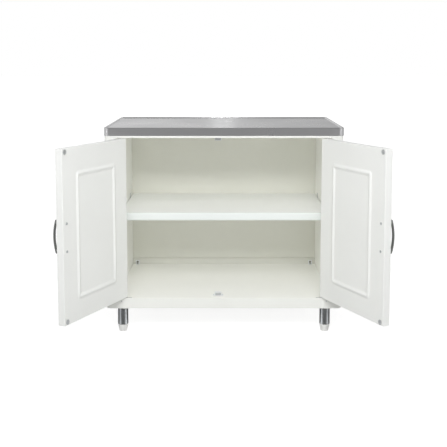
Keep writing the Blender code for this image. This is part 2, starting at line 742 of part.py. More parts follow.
def make_lock_screws(case):
    """A screw in the floor board's front edge below each lower pivot."""
    holes = []
    for side, sign in SIDES.items():
        spot = (sign * PIVOT_X, FRONT, FLOOR_TOP - LOCK_SCREW_DROP)
        mesh = bmesh.new()
        add_screw(mesh, spot, (0, -1, 0))
        place(side + "_pivot_lock_screw", mesh, (0, 0, 0), ZINC)
        holes.append((spot, (0, -1, 0)))
    cut(case["floor_board"], cutter("lock_screw_holes", screw_holes(holes)))


def make_legs():
    """Four legs: a plate screwed under the floor board, a chromed tube and a foot that screws out."""
    bore = LEG_RADIUS - LEG_WALL
    plate_top = LEG_HEIGHT - SEAT
    plate_low = plate_top - PLATE_THICK
    stem = bore - STEM_FIT
    plate_profile = (
        (0, plate_top),
        (PLATE_RADIUS, plate_top),
        (PLATE_RADIUS, plate_low),
        (bore - SEAT, plate_low),
        (bore - SEAT, plate_low - BOSS_HEIGHT),
        (0, plate_low - BOSS_HEIGHT),
    )
    tube_profile = (
        (LEG_RADIUS, plate_low - SEAT),
        (LEG_RADIUS, FOOT_HEIGHT + SEAT),
        (bore, FOOT_HEIGHT + SEAT),
        (bore, plate_low - SEAT),
    )
    foot_profile = (
        (0, FOOT_HEIGHT + STEM_HEIGHT),
        (stem, FOOT_HEIGHT + STEM_HEIGHT),
        (stem, FOOT_HEIGHT),
        (FOOT_TOP, FOOT_HEIGHT),
        (FOOT_TOP, FOOT_HEIGHT - FOOT_COLLAR),
        (FOOT_WAIST, FOOT_HEIGHT - FOOT_COLLAR),
        (FOOT_SOLE, FOOT_ROUND),
        (FOOT_SOLE - FOOT_ROUND, 0),
        (0, 0),
    )
    ring = (LEG_RADIUS + PLATE_RADIUS) / 2
    for row, y in (("front", LEG_FRONT_INSET), ("rear", CASE_DEPTH - LEG_FRONT_INSET)):
        for side, sign in SIDES.items():
            name = row + "_" + side
            at = (sign * (CASE_WIDTH / 2 - LEG_SIDE_INSET), FRONT + y, 0)
            mesh = bmesh.new()
            add_turned(mesh, plate_profile, ROUND_STEPS, Matrix())
            plate = place("leg_plate_" + name, mesh, at, PALE_PLASTIC)
            places = []
            for step in range(PLATE_SCREWS):
                turn = 2 * math.pi * (step + 0.5) / PLATE_SCREWS
                places.append(((ring * math.cos(turn), ring * math.sin(turn), plate_low), (0, 0, -1)))
            cut(plate, cutter("plate_holes_" + name, screw_holes(places), at))
            mesh = bmesh.new()
            add_turned(mesh, tube_profile, ROUND_STEPS, Matrix(), closed=True)
            place("leg_tube_" + name, mesh, at, CHROME)
            mesh = bmesh.new()
            add_turned(mesh, foot_profile, ROUND_STEPS, Matrix())
            place("leg_foot_" + name, mesh, at, PALE_PLASTIC)


case = make_case()
make_worktop()
make_shelf(case)
make_case_pivots(case)
for side, sign in SIDES.items():
    make_door(side, sign)
make_catches()
make_brackets()
make_lock_screws(case)
make_legs()
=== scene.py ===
import math

import bmesh
import bpy
from mathutils import Matrix, Vector


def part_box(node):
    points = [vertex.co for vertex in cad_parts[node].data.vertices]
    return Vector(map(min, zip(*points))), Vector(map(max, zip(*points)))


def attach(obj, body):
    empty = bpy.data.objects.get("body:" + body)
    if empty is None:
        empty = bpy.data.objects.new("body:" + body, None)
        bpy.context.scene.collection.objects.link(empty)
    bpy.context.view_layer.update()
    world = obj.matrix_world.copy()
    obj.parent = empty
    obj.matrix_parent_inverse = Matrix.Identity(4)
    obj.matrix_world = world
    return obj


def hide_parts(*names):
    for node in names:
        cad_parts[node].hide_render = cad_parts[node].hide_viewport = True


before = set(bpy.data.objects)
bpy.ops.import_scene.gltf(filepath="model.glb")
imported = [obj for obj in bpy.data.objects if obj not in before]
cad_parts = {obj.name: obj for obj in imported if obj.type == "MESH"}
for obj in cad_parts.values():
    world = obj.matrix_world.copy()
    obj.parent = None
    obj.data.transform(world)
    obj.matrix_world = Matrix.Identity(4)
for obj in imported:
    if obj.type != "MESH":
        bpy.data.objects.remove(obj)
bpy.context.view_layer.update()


# Screws. Small countersunk steel screws with a cross recess hold the hardware: the heads sit flush in their
# plates. They are cold headed and zinc plated, so they look like the plates, only a little brighter.


def linear(colour):
    """An sRGB hex colour, such as #E7E8E3, as linear red, green and blue with alpha."""
    parts = [int(colour[start : start + 2], 16) / 255 for start in (1, 3, 5)]
    return (*[part / 12.92 if part <= 0.04045 else ((part + 0.055) / 1.055) ** 2.4 for part in parts], 1.0)


def new_finish(name):
    """An empty material, its node tree, and the place of a point in the piece's own metres."""
    made = bpy.data.materials.new(name)
    made.use_nodes = True
    made.node_tree.nodes.clear()
    return made, made.node_tree, add_node(made.node_tree, "TexCoord", {}).outputs["Object"]


def add_node(tree, kind, inputs, **settings):
    """Adds a shader node. An input is a value, or the node or output that it is linked from."""
    made = tree.nodes.new("ShaderNode" + kind)
    for name, value in settings.items():
        setattr(made, name, value)
    for key, value in inputs.items():
        if isinstance(value, bpy.types.Node):
            value = value.outputs[0]
        if isinstance(value, bpy.types.NodeSocket):
            tree.links.new(value, made.inputs[key])
        else:
            made.inputs[key].default_value = value
    return made


def grained_finish(
    name, tints, gloss, relief, grain, cloud=None, by=("cloud", "grain"), tangent=None, shader=None
):
    """A material with two noises, a grain and a wider cloud: each is a size in metres, or one along each axis, and
    a detail. The tints follow the noise first named in by, the gloss the second, and the relief, in metres, the
    grain; without a cloud the grain does it all. The tangent is the settings of its node."""
    made, tree, where = new_finish(name)
    noises = {}
    for key, (size, detail) in {"grain": grain, "cloud": cloud or grain}.items():
        place, scale = where, 1.0
        if isinstance(size, tuple):
            place = add_node(tree, "Mapping", {"Vector": where, "Scale": [1 / part for part in size]})
        else:
            scale = 1 / size
        noises[key] = add_node(tree, "TexNoise", {"Vector": place, "Scale": scale, "Detail": detail})
    tint = add_node(tree, "Mix", {0: noises[by[0]], 6: linear(tints[0]), 7: linear(tints[1])}, data_type="RGBA")
    rough = add_node(tree, "MapRange", {0: noises[by[1]], 1: 0.3, 2: 0.7, 3: gloss[0], 4: gloss[1]})
    raised = add_node(tree, "Bump", {"Height": noises["grain"], "Distance": relief})
    inputs = {"Base Color": tint.outputs[2], "Roughness": rough, "Normal": raised, **(shader or {})}
    if tangent:
        inputs["Tangent"] = add_node(tree, "Tangent", {}, **tangent)
    add_node(tree, "OutputMaterial", {0: add_node(tree, "BsdfPrincipled", inputs)})
    return made


def softened(corners, closed=False, steps=4):
    """Rounds the corners of a flat line; a corner is its two coordinates and its radius."""
    points = []
    for index, (a, b, radius) in enumerate(corners):
        here = Vector((a, b))
        if radius == 0 or (not closed and index in (0, len(corners) - 1)):
            points.append(here)
            continue
        back = (Vector(corners[index - 1][:2]) - here).normalized()
        onward = (Vector(corners[(index + 1) % len(corners)][:2]) - here).normalized()
        half = back.angle(onward) / 2
        middle = here + (back + onward).normalized() * (radius / math.sin(half))
        first = here + back * (radius / math.tan(half)) - middle
        last = here + onward * (radius / math.tan(half)) - middle
        sweep = math.copysign(math.pi - 2 * half, first.x * last.y - first.y * last.x)
        for step in range(steps + 1):
            turn = sweep * step / steps
            x = first.x * math.cos(turn) - first.y * math.sin(turn)
            y = first.x * math.sin(turn) + first.y * math.cos(turn)
            points.append(middle + Vector((x, y)))
    return [(point.x, point.y) for point in points]


def bridge(mesh, one, two):
    """Joins two rings of as many points with faces."""
    for index in range(len(one)):
        after = (index + 1) % len(one)
        mesh.faces.new((one[index], two[index], two[after], one[after]))


def skin(mesh, rings):
    """Closes the first and the last of some rings of points, and joins each ring to the next."""
    mesh.faces.new(rings[0])
    mesh.faces.new(rings[-1])
    for one, two in zip(rings, rings[1:]):
        bridge(mesh, one, two)


def add_turned(mesh, profile, where=Matrix(), steps=64, closed=False, flutes=0):
    """Adds a turned shape from (radius, height) points; a third number is the depth of its flutes there."""
    rings = []
    for radius, height, *depth in profile:
        if radius < 1e-6:
            rings.append([mesh.verts.new(where @ Vector((0, 0, height)))])
            continue
        ring = []
        for step in range(steps):
            turn = 2 * math.pi * step / steps
            reach = radius - (depth[0] * (1 - math.cos(flutes * turn)) / 2 if depth else 0)
            ring.append(mesh.verts.new(where @ Vector((reach * math.cos(turn), reach * math.sin(turn), height))))
        rings.append(ring)
    pairs = list(zip(rings, rings[1:])) + ([(rings[-1], rings[0])] if closed else [])
    for one, two in pairs:
        if len(one) > 1 and len(two) > 1:
            bridge(mesh, one, two)
            continue
        for step in range(steps):
            after = (step + 1) % steps
            tip, rim = (one, two) if len(one) == 1 else (two, one)
            mesh.faces.new((tip[0], rim[step], rim[after]))


def as_data(name, mesh):
    """A bmesh as mesh data, with its faces pointing out."""
    bmesh.ops.recalc_face_normals(mesh, faces=mesh.faces)
    data = bpy.data.meshes.new(name)
    mesh.to_mesh(data)
    mesh.free()
    return data


def make_piece(name, mesh, finish, where=Matrix(), cuts=None):
    """Turns a bmesh into a piece at its place, after its cuts. Shallow edges are shaded as one surface."""
    made = bpy.data.objects.new(name, as_data(name, mesh))
    bpy.context.scene.collection.objects.link(made)
    if cuts is not None:
        tool = bpy.data.objects.new("tool", as_data("tool", cuts))
        bpy.context.scene.collection.objects.link(tool)
        made.modifiers.new("cut", "BOOLEAN").object = tool
        bpy.context.view_layer.update()
        shape = made.evaluated_get(bpy.context.evaluated_depsgraph_get())
        made.data = bpy.data.meshes.new_from_object(shape)
        made.data.name = name
        made.modifiers.clear()
        bpy.data.objects.remove(tool)
    made.data.materials.clear()
    made.data.materials.append(finish)
    made.data.shade_smooth()
    made.data.set_sharp_from_angle(angle=math.radians(35))
    made.modifiers.new("even shading", "WEIGHTED_NORMAL").keep_sharp = True
    made.data.transform(where.to_3x3().to_4x4())
    made.location = where.translation
    return made


def stand_for(piece, body, slot, *nodes):
    """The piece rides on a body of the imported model, in the place of these nodes."""
    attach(piece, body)
    if nodes:
        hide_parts(*nodes)


CROSS_ARM = 0.24  # half the width of a cross recess's arms, as a share of their reach
CROSS_DEPTH = 0.75
CROSS_TAPER = 0.45  # what is left of the arms at the bottom


def screw_data(name, reach, corners):
    """A screw, drawn upright from its profile, with a cross recess of that reach in its head."""
    mesh = bmesh.new()
    profile = softened(corners)
    add_turned(mesh, profile, steps=40)
    top = max(height for radius, height in profile)
    slot = reach * CROSS_ARM
    cross = [(reach, slot), (slot, slot), (slot, reach)]
    for quarter in range(3):
        cross.extend([(-y, x) for x, y in cross[-3:]])
    recess = bmesh.new()
    rings = []
    for height, share in ((top + reach / 4, 1.1), (top, 1), (top - reach * CROSS_DEPTH, CROSS_TAPER)):
        rings.append([recess.verts.new((x * share, y * share, height)) for x, y in cross])
    skin(recess, rings)
    made = make_piece(name, mesh, zinc, cuts=recess)
    data = made.data
    bpy.data.objects.remove(made)
    return data


def add_copies(mesh, data, places):
    """Adds a copy of a ready mesh at each place."""
    for place in places:
        before = len(mesh.verts)
        mesh.from_mesh(data)
        mesh.verts.ensure_lookup_table()
        bmesh.ops.transform(mesh, matrix=place, verts=mesh.verts[before:])


# Bright zinc plate on steel: bluish grey, half dull, in soft patches a few millimetres across with grain in it.
zinc = grained_finish(
    "zinc_plated_steel",
    tints=("#C2C4C7", "#D4D6D9"),
    cloud=(0.006, 4.0),
    grain=(0.0009, 2.0),
    by=("cloud", "cloud"),
    gloss=(0.30, 0.46),
    relief=0.00002,
    shader={"Metallic": 1.0},
)

HEAD = 0.0026  # radius of a countersunk head
SINK = 0.0012
SHANK = 0.0014
LENGTH = 0.013
ROOM = 0.0002  # round a screw in its hole
RISE = 0.001  # how far the cutter of a hole stands above its face
countersunk = screw_data(
    "countersunk_screw",
    HEAD * 0.62,
    [
        (0, 0, 0),
        (HEAD, 0, 0.00015),
        (SHANK, -SINK, 0),
        (SHANK, -LENGTH, 0),
        (0, -LENGTH - SHANK, 0),
    ],
)


def screw_holes(places):
    """The countersunk holes for screws at these places, a little wider all round."""
    mesh = bmesh.new()
    profile = [
        (0, RISE),
        (HEAD + ROOM, RISE),
        (HEAD + ROOM, 0),
        (SHANK + ROOM, -SINK - ROOM),
        (SHANK + ROOM, -LENGTH - 2 * ROOM),
        (0, -LENGTH - SHANK - 2 * ROOM),
    ]
    for place in places:
        add_turned(mesh, profile, place, steps=40)
    return mesh


def fit_screws(name, places, body, where=Matrix()):
    """One piece for all the countersunk screws of a plate."""
    mesh = bmesh.new()
    add_copies(mesh, countersunk, places)
    stand_for(make_piece(name, mesh, zinc, where), body, "zinc_hardware")


# Legs. A moulded polypropylene plate is screwed under the floor board by four screws, a chromed steel tube is
# pushed over its boss, and a pale polythene foot turns in and out of the tube on its stem, to level the cabinet.

SIDES = (("left", -1), ("right", 1))
FLANGE = 0.031
FLANGE_THICK = 0.003
RIB_HEIGHT = 0.0018  # rib under the flange, round the tube's end
RIB_INSIDE = 0.0003  # from the tube
RIB_OUTSIDE = 0.0022
BOSS = 0.0185
BOSS_WALL = 0.0025
SCREW_RING = 0.0262  # from the leg's middle to each screw
TUBE = 0.020
TUBE_WALL = 0.0012
FOOT_HEIGHT = 0.028
STEM = 0.0182
FOOT_TOP = 0.0192
FOOT_WAIST = 0.0182
FOOT_SOLE = 0.0145
FOOT_COLLAR = 0.005
COLLAR_STEP = 0.0006
SOLE_RIM = 0.005
SOLE_SLOPE = 0.001
SOLE_HOLLOW = 0.0012
FLUTES = 32  # of the grip round the foot's collar
FLUTE_DEPTH = 0.0003
FLUTE_MARGIN = 0.0004

# Polypropylene from a spark-eroded mould: soft white, dull, with a fine even grain, drawn 0.8 mm wide to show.
moulded = grained_finish(
    "moulded_polypropylene",
    tints=("#D4D5D2", "#DEDFDC"),
    cloud=(0.020, 3.0),
    grain=(0.0008, 1.0),
    gloss=(0.46, 0.58),
    relief=0.00003,
    shader={"IOR": 1.49},
)

# Chromium over steel tube that was ground round its girth, with its lights drawn out into upright streaks; it is
# tinted far darker than chromium, as a painted dark reflection of the room. The grinding lines are a tenth of a
# millimetre apart, and drawn 1 mm apart so that they show.
chrome = grained_finish(
    "chromed_ground_tube",
    tints=("#76787A", "#808284"),
    cloud=(0.015, 3.0),
    grain=((0.060, 0.060, 0.001), 3.0),
    gloss=(0.27, 0.32),
    relief=0.000004,
    tangent={"direction_type": "RADIAL", "axis": "Z"},
    shader={"Metallic": 1.0, "Anisotropic": 0.85, "Anisotropic Rotation": 0.25},
)

# Natural polythene, injection moulded: milky and slightly see-through, so light bleeds a few millimetres into it.
polythene = grained_finish(
    "natural_polythene",
    tints=("#EEEEEC", "#F6F6F4"),
    grain=(0.012, 3.0),
    gloss=(0.34, 0.46),
    relief=0.0001,
    shader={
        "IOR": 1.51,
        "Subsurface Weight": 0.4,
        "Subsurface Radius": (0.004, 0.004, 0.004),
        "Subsurface Scale": 1.0,
    },
)


def facing(point, way):
    """The place of a piece that is drawn upright, at a point and facing a way."""
    turn = Vector((0, 0, 1)).rotation_difference(Vector(way)).to_matrix().to_4x4()
    return Matrix.Translation(point) @ turn


for row in ("front", "rear"):
    for side, sign in SIDES:
        name = row + "_" + side
        low, high = (Vector(corner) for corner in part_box("leg_plate_" + name))
        centre = Matrix.Translation(((low.x + high.x) / 2, (low.y + high.y) / 2, 0))
        under = high.z - FLANGE_THICK

        mesh = bmesh.new()
        plate = [
            (0, high.z, 0),
            (FLANGE, high.z, 0.0003),
            (FLANGE, under, 0.0010),
            (TUBE + RIB_OUTSIDE, under, 0.0004),
            (TUBE + RIB_OUTSIDE - 0.0004, under - RIB_HEIGHT, 0.0005),
            (TUBE + RIB_INSIDE, under - RIB_HEIGHT, 0.0002),
            (TUBE + RIB_INSIDE, under, 0),
            (BOSS, under, 0.0003),
            (BOSS, low.z, 0.0008),
            (BOSS - BOSS_WALL, low.z, 0.0003),
            (BOSS - BOSS_WALL, under, 0.0005),
            (0, under, 0),
        ]
        add_turned(mesh, softened(plate), steps=72)
        places = []
        for step in range(4):
            turn = math.pi / 2 * (step + 0.5)
            point = (SCREW_RING * math.cos(turn), SCREW_RING * math.sin(turn), under)
            places.append(facing(point, (0, 0, -1)))
        plate = make_piece("moulded_leg_plate_" + name, mesh, moulded, centre, screw_holes(places))
        stand_for(plate, "case", "pale_plastic", "leg_plate_" + name)
        fit_screws("leg_plate_screws_" + name, places, "case", centre)

        low, high = (Vector(corner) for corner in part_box("leg_tube_" + name))
        mesh = bmesh.new()
        wall = [
            (TUBE, high.z, 0.0002),
            (TUBE, low.z, 0.0005),
            (TUBE - TUBE_WALL, low.z, 0.0003),
            (TUBE - TUBE_WALL, high.z, 0.0002),
        ]
        add_turned(mesh, softened(wall, closed=True), steps=96, closed=True)
        tube = make_piece("chromed_leg_tube_" + name, mesh, chrome, centre)
        stand_for(tube, "case", "chrome_tube", "leg_tube_" + name)

        low, high = (Vector(corner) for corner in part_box("leg_foot_" + name))
        mesh = bmesh.new()
        shape = [
            (0, high.z, 0),
            (STEM, high.z, 0.0012),
            (STEM, FOOT_HEIGHT, 0.0002),
            (FOOT_TOP, FOOT_HEIGHT, 0.0005),
            (FOOT_TOP, FOOT_HEIGHT - FOOT_COLLAR, 0.0005),
            (FOOT_WAIST, FOOT_HEIGHT - FOOT_COLLAR - COLLAR_STEP, 0.0004),
            (FOOT_SOLE, low.z, 0.0020),
            (FOOT_SOLE - SOLE_RIM, low.z, 0.0005),
            (FOOT_SOLE - SOLE_RIM - SOLE_SLOPE, low.z + SOLE_HOLLOW, 0.0005),
            (0, low.z + SOLE_HOLLOW, 0),
        ]
        fluted = []
        for radius, height in softened(shape):
            above = height > FOOT_HEIGHT - FOOT_COLLAR + FLUTE_MARGIN
            grip = above and height < FOOT_HEIGHT - FLUTE_MARGIN and radius > FOOT_WAIST
            fluted.append((radius, height, FLUTE_DEPTH if grip else 0))
        add_turned(mesh, fluted, steps=4 * FLUTES, flutes=FLUTES)
        foot = make_piece("levelling_foot_" + name, mesh, polythene, centre)
        stand_for(foot, "foot_" + name, "pale_plastic", "leg_foot_" + name)


# Case boards. Floor, sides and roof are fibreboard in white foil, pressed over their eased edges; the sides are
# doweled and glued between floor and roof, and the front corners follow the worktop's rounding.

CASE_ROUND = 0.0197
INNER_ROUND = 0.003
BOARD_EASE = 0.0006
LEAF_LENGTH = 0.046
LEAF_WIDTH = 0.0072
LEAF_THICK = 0.0024
LEAF_END = 0.006
LEAF_TIP = 0.0001  # the flat that is left between the rounds of a leaf's end
HOLE_RADIUS = 0.0028
HOLE_DEPTH = 0.011
SLACK = 0.0003  # round what is let into the boards
OVERRUN = 0.004  # how far a cutter runs past the face that it opens
LOCK_SCREW_DROP = 0.012  # below the top of the floor board
PEG_DROP = 0.006  # from the top of a shelf clip to its peg
HOLE_PITCH = 0.146

# White foil on fibreboard: even, satin and faintly green-grey, with an orange peel some 3 mm across that the
# fibres press into it, a few hundredths of a millimetre deep, and barely seen lighter and darker clouds. Every
# face that looks to the front is painted a greyer white, as painted shade on the boards' front edges.
foil, tree, where = new_finish("satin_foil_on_fibreboard")
cloud = add_node(tree, "TexNoise", {"Vector": where, "Scale": 1 / 0.140, "Detail": 3.0})
peel = add_node(tree, "TexNoise", {"Vector": where, "Scale": 1 / 0.003, "Detail": 2.0})
tint = add_node(tree, "Mix", {0: cloud, 6: linear("#F7F7F3"), 7: linear("#FAFAF7")}, data_type="RGBA")
# Painted shade: the more a face looks to the front, the more its white is mixed towards a greyer one.
way = add_node(tree, "SeparateXYZ", {0: where.node.outputs["Normal"]})
painted_front_shade = add_node(tree, "MapRange", {0: way.outputs["Y"], 1: -0.5, 2: -0.95, 3: 0.0, 4: 1.0})
tint = add_node(tree, "Mix", {0: painted_front_shade, 6: tint.outputs[2], 7: linear("#F0F1ED")}, data_type="RGBA")
gloss = add_node(tree, "MapRange", {0: peel, 1: 0.3, 2: 0.7, 3: 0.40, 4: 0.50})
relief = add_node(tree, "Bump", {"Height": peel, "Distance": 0.00003})
shader = {"Base Color": tint.outputs[2], "IOR": 1.5, "Roughness": gloss, "Normal": relief}
add_node(tree, "OutputMaterial", {0: add_node(tree, "BsdfPrincipled", shader)})


def ease(mesh, width, steps=3):
    """Rounds every edge of a mesh that turns by more than 60 degrees."""
    bmesh.ops.recalc_face_normals(mesh, faces=mesh.faces)
    edges = [edge for edge in mesh.edges if edge.calc_face_angle(0) > math.radians(60)]
    bmesh.ops.bevel(
        mesh, geom=edges, offset=width, segments=steps, profile=0.5, affect="EDGES", clamp_overlap=True
    )


def add_slab(mesh, outline, z0, z1):
    """Adds a flat outline, extruded up from z0 to z1."""
    skin(mesh, [[mesh.verts.new((x, y, z)) for x, y in outline] for z in (z0, z1)])


def rectangle(low, high, radii=(0, 0, 0, 0), steps=8):
    """The flat line round a box, from its low corner along x first, with the radius of each corner."""
    (x0, y0), (x1, y1) = low[:2], high[:2]
    return softened([(x0, y0, radii[0]), (x1, y0, radii[1]), (x1, y1, radii[2]), (x0, y1, radii[3])], True, steps)


def add_board(mesh, low, high, front_left, front_right, rear=INNER_ROUND):
    """Adds a board between two corners, with the rounds of its front corners and its rear ones seen from above."""
    add_slab(mesh, rectangle(low, high, (front_left, front_right, rear, rear), 12), low.z, high.z)


def leaf_outline(inward, grow, at):
    """A pivot leaf with round ends, seen from above, from its pin's centre."""
    x0 = at[0] - (LEAF_END + grow) * inward
    x1 = at[0] + (LEAF_LENGTH - LEAF_END + grow) * inward
    half = LEAF_WIDTH / 2 + grow
    return rectangle((x0, at[1] - half), (x1, at[1] + half), [half - LEAF_TIP] * 4)


pin_at = {}
for side, sign in SIDES:
    low, high = (Vector(corner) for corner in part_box(side + "_lower_washer"))
    pin_at[side] = ((low.x + high.x) / 2, (low.y + high.y) / 2)

floor_low, floor_high = (Vector(corner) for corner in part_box("floor_board"))
roof_low, roof_high = (Vector(corner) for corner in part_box("roof_board"))
for node, board_low, board_high, face, up in (
    ("floor_board", floor_low, floor_high, floor_high.z, 1),
    ("roof_board", roof_low, roof_high, roof_low.z, -1),
):
    mesh = bmesh.new()
    add_board(mesh, board_low, board_high, CASE_ROUND, CASE_ROUND)
    ease(mesh, BOARD_EASE)
    lock_screws = []
    for side, sign in SIDES:
        lock_screws.append(facing((pin_at[side][0], board_low.y, floor_high.z - LOCK_SCREW_DROP), (0, -1, 0)))
    pockets = screw_holes(lock_screws if up == 1 else [])
    for side, sign in SIDES:
        bottom = face - up * (LEAF_THICK + SLACK)
        add_slab(pockets, leaf_outline(-sign, SLACK, pin_at[side]), *sorted((bottom, face + up * OVERRUN)))
    board = make_piece("foiled_" + node, mesh, foil, cuts=pockets)
    stand_for(board, "case", "painted_board", node)

clip_rows = {}
for row in ("front", "rear"):
    low, high = (Vector(corner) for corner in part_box("shelf_clip_" + row + "_left"))
    clip_rows[row] = (low.y + high.y) / 2
peg_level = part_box("shelf_clip_front_left")[1][2] - PEG_DROP
hole_levels = [peg_level + HOLE_PITCH * step for step in (-2, -1, 0, 1)]

for side, sign in SIDES:
    low, high = (Vector(corner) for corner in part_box(side + "_side"))
    mesh = bmesh.new()
    add_board(mesh, low, high, *((CASE_ROUND, INNER_ROUND) if sign < 0 else (INNER_ROUND, CASE_ROUND)))
    ease(mesh, BOARD_EASE / 2)
    inner = high.x if sign < 0 else low.x
    bores = bmesh.new()
    for y in clip_rows.values():
        for level in hole_levels:
            bore = ((0, -OVERRUN), (HOLE_RADIUS, -OVERRUN), (HOLE_RADIUS, HOLE_DEPTH), (0, HOLE_DEPTH))
            add_turned(bores, bore, facing((inner, y, level), (sign, 0, 0)), steps=32)
    board = make_piece("foiled_" + side + "_side", mesh, foil, cuts=bores)
    stand_for(board, "case", "painted_board", side + "_side")


# Back. A thin lacquered hardboard is planted on the rear edges of the case and screwed all round; inside, a
# narrow cleat with the same lacquer stiffens its foot.

BACK_EASE = 0.0005
REAR_EASE = 0.0012
CLEAT_EASE = 0.001
SCREWS_ACROSS = 6
SCREWS_UP = 3  # between those at the corners
SCREW_MARGIN = 0.020
TOP_SCREW_DROP = 0.0045  # beyond half of the margin, to meet the roof board's middle

# White lacquer rolled on hardboard: duller than the foil, with the fine stipple of the roller a millimetre or so
# across. It is tinted a trace greyer and warmer than the foil, as painted shade at the back of the compartments,
# and the cleat is greyer still, as painted shade at the foot of the back wall.
lacquered = {}
# Painted shade: the panel's tints are greyer than the foil's, and the cleat's greyer again.
for board, tints in (("panel", ("#EAEAE2", "#EEEEE7")), ("cleat", ("#DDDDD6", "#E1E1DA"))):
    lacquered[board] = grained_finish(
        "rolled_lacquer_on_hardboard_" + board,
        tints=tints,
        cloud=(0.160, 3.0),
        grain=(0.0015, 2.0),
        gloss=(0.48, 0.60),
        relief=0.00002,
        shader={"IOR": 1.5},
    )

low, high = (Vector(corner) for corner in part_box("back_panel"))
mesh = bmesh.new()
add_board(mesh, low, high, BACK_EASE, BACK_EASE, REAR_EASE)
ease(mesh, BACK_EASE / 2)
places = []
for step in range(SCREWS_ACROSS):
    x = low.x + SCREW_MARGIN + (high.x - low.x - 2 * SCREW_MARGIN) * step / (SCREWS_ACROSS - 1)
    places.extend([(x, low.z + SCREW_MARGIN), (x, high.z - SCREW_MARGIN / 2 - TOP_SCREW_DROP)])
for step in range(1, SCREWS_UP + 1):
    z = low.z + (high.z - low.z) * step / (SCREWS_UP + 1)
    places.extend([(low.x + SCREW_MARGIN, z), (high.x - SCREW_MARGIN, z)])
places = [facing((x, high.y, z), (0, 1, 0)) for x, z in places]
panel = make_piece("lacquered_back_panel", mesh, lacquered["panel"], cuts=screw_holes(places))
stand_for(panel, "case", "painted_board", "back_panel")
fit_screws("back_panel_screws", places, "case")

low, high = (Vector(corner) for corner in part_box("back_cleat"))
mesh = bmesh.new()
add_slab(mesh, rectangle(low, high), low.z, high.z)
ease(mesh, CLEAT_EASE)
cleat = make_piece("lacquered_back_cleat", mesh, lacquered["cleat"])
stand_for(cleat, "case", "painted_board", "back_cleat")


# Pivots. Zinc-plated steel leaves are let flush into the floor and roof boards, each with its riveted pin; a
# nylon washer on the pin carries the door. Below each lower pivot a screw locks the leaf from the front.

LEAF_SCREWS = ((LEAF_LENGTH - LEAF_END) / 2, LEAF_LENGTH - LEAF_END - LEAF_WIDTH / 2)
LEAF_EASE = 0.0002
PIN_RADIUS = 0.0025
PIN_CHAMFER = 0.0008

# Nylon 6, turned from rod: milky white with a waxy sheen, and turning marks drawn half a millimetre apart.
nylon = grained_finish(
    "turned_nylon",
    tints=("#E2E2DE", "#EBEBE8"),
    grain=(0.0005, 1.0),
    gloss=(0.32, 0.42),
    relief=0.00001,
    shader={"IOR": 1.53},
)


def leaf_mesh(inward, at, face, up):
    """A leaf whose upper or lower side is level with the face of its board, and the places of its two screws."""
    mesh = bmesh.new()
    add_slab(mesh, leaf_outline(inward, 0, at), *sorted((face, face - up * LEAF_THICK)))
    ease(mesh, LEAF_EASE, 2)
    return mesh, [facing((at[0] + inward * reach, at[1], face), (0, 0, up)) for reach in LEAF_SCREWS]


for side, sign in SIDES:
    for end, face, up in (("lower", floor_high.z, 1), ("upper", roof_low.z, -1)):
        at = pin_at[side]
        low, high = (Vector(corner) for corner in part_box(side + "_" + end + "_pivot"))
        tip = high.z if up == 1 else low.z
        mesh, places = leaf_mesh(-sign, at, face, up)
        name = side + "_" + end
        leaf = make_piece("let_in_pivot_leaf_" + name, mesh, zinc, cuts=screw_holes(places))
        stand_for(leaf, "case", "zinc_hardware", name + "_pivot")
        mesh = bmesh.new()
        reach = abs(tip - face)
        pin = [
            (0, -LEAF_THICK / 2, 0),
            (PIN_RADIUS, -LEAF_THICK / 2, 0),
            (PIN_RADIUS, reach - PIN_CHAMFER, 0.0002),
            (PIN_RADIUS - PIN_CHAMFER, reach, 0.0002),
            (0, reach, 0),
        ]
        add_turned(mesh, softened(pin), facing((*at, face), (0, 0, up)), steps=32)
        stand_for(make_piece("pivot_pin_" + name, mesh, zinc), "case", "zinc_hardware")
        fit_screws("pivot_leaf_screws_" + name, places, "case")

        low, high = (Vector(corner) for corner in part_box(side + "_" + end + "_washer"))
        rim = (high.x - low.x) / 2
        mesh = bmesh.new()
        washer = [
            (PIN_RADIUS + SLACK, low.z, 0.0002),
            (rim, low.z, 0.0005),
            (rim, high.z, 0.0005),
            (PIN_RADIUS + SLACK, high.z, 0.0002),
        ]
        spot = Matrix.Translation((*at, 0))
        add_turned(mesh, softened(washer, closed=True), spot, steps=48, closed=True)
        stand_for(make_piece("nylon_washer_" + name, mesh, nylon), "case", "pale_plastic", name + "_washer")

for (side, sign), place in zip(SIDES, lock_screws):
    mesh = bmesh.new()
    add_copies(mesh, countersunk, [place])
    screw = make_piece("lock_screw_" + side, mesh, zinc)
    stand_for(screw, "case", "zinc_hardware", side + "_pivot_lock_screw")


# Corner brackets. A small angle moulded in white ABS near each end ties the cleat to the floor board, with one
# pan-headed screw through each flange.

STRIP = 0.0015  # thickness of the brackets and of the shelf clips
PAN_RADIUS = 0.0048
PAN_HEIGHT = 0.0018
PAN_SHANK = 0.0020
PAN_LENGTH = 0.020
PAN_RECESS = 0.0027

# White ABS, moulded and lightly textured: cool white, satin.
abs_white = grained_finish(
    "moulded_white_abs",
    tints=("#E6E9EB", "#EEF0F1"),
    cloud=(0.010, 3.0),
    grain=(0.0007, 1.0),
    gloss=(0.34, 0.44),
    relief=0.00002,
    shader={"IOR": 1.53},
)

# Phosphated steel: warm grey and dull, with a crystal grain that is drawn 0.4 mm wide.
phosphated = grained_finish(
    "phosphated_steel",
    tints=("#7A796F", "#8A897E"),
    grain=(0.0004, 2.0),
    gloss=(0.5, 0.65),
    relief=0.00002,
)

pan_head = screw_data(
    "pan_head_screw",
    PAN_RECESS,
    [
        (0, PAN_HEIGHT, 0),
        (0.0030, PAN_HEIGHT - 0.0001, 0.0012),
        (PAN_RADIUS - 0.0001, PAN_HEIGHT / 2, 0.0007),
        (PAN_RADIUS, 0, 0),
        (PAN_SHANK, 0, 0),
        (PAN_SHANK, -PAN_LENGTH, 0),
        (0, -PAN_LENGTH, 0),
    ],
)

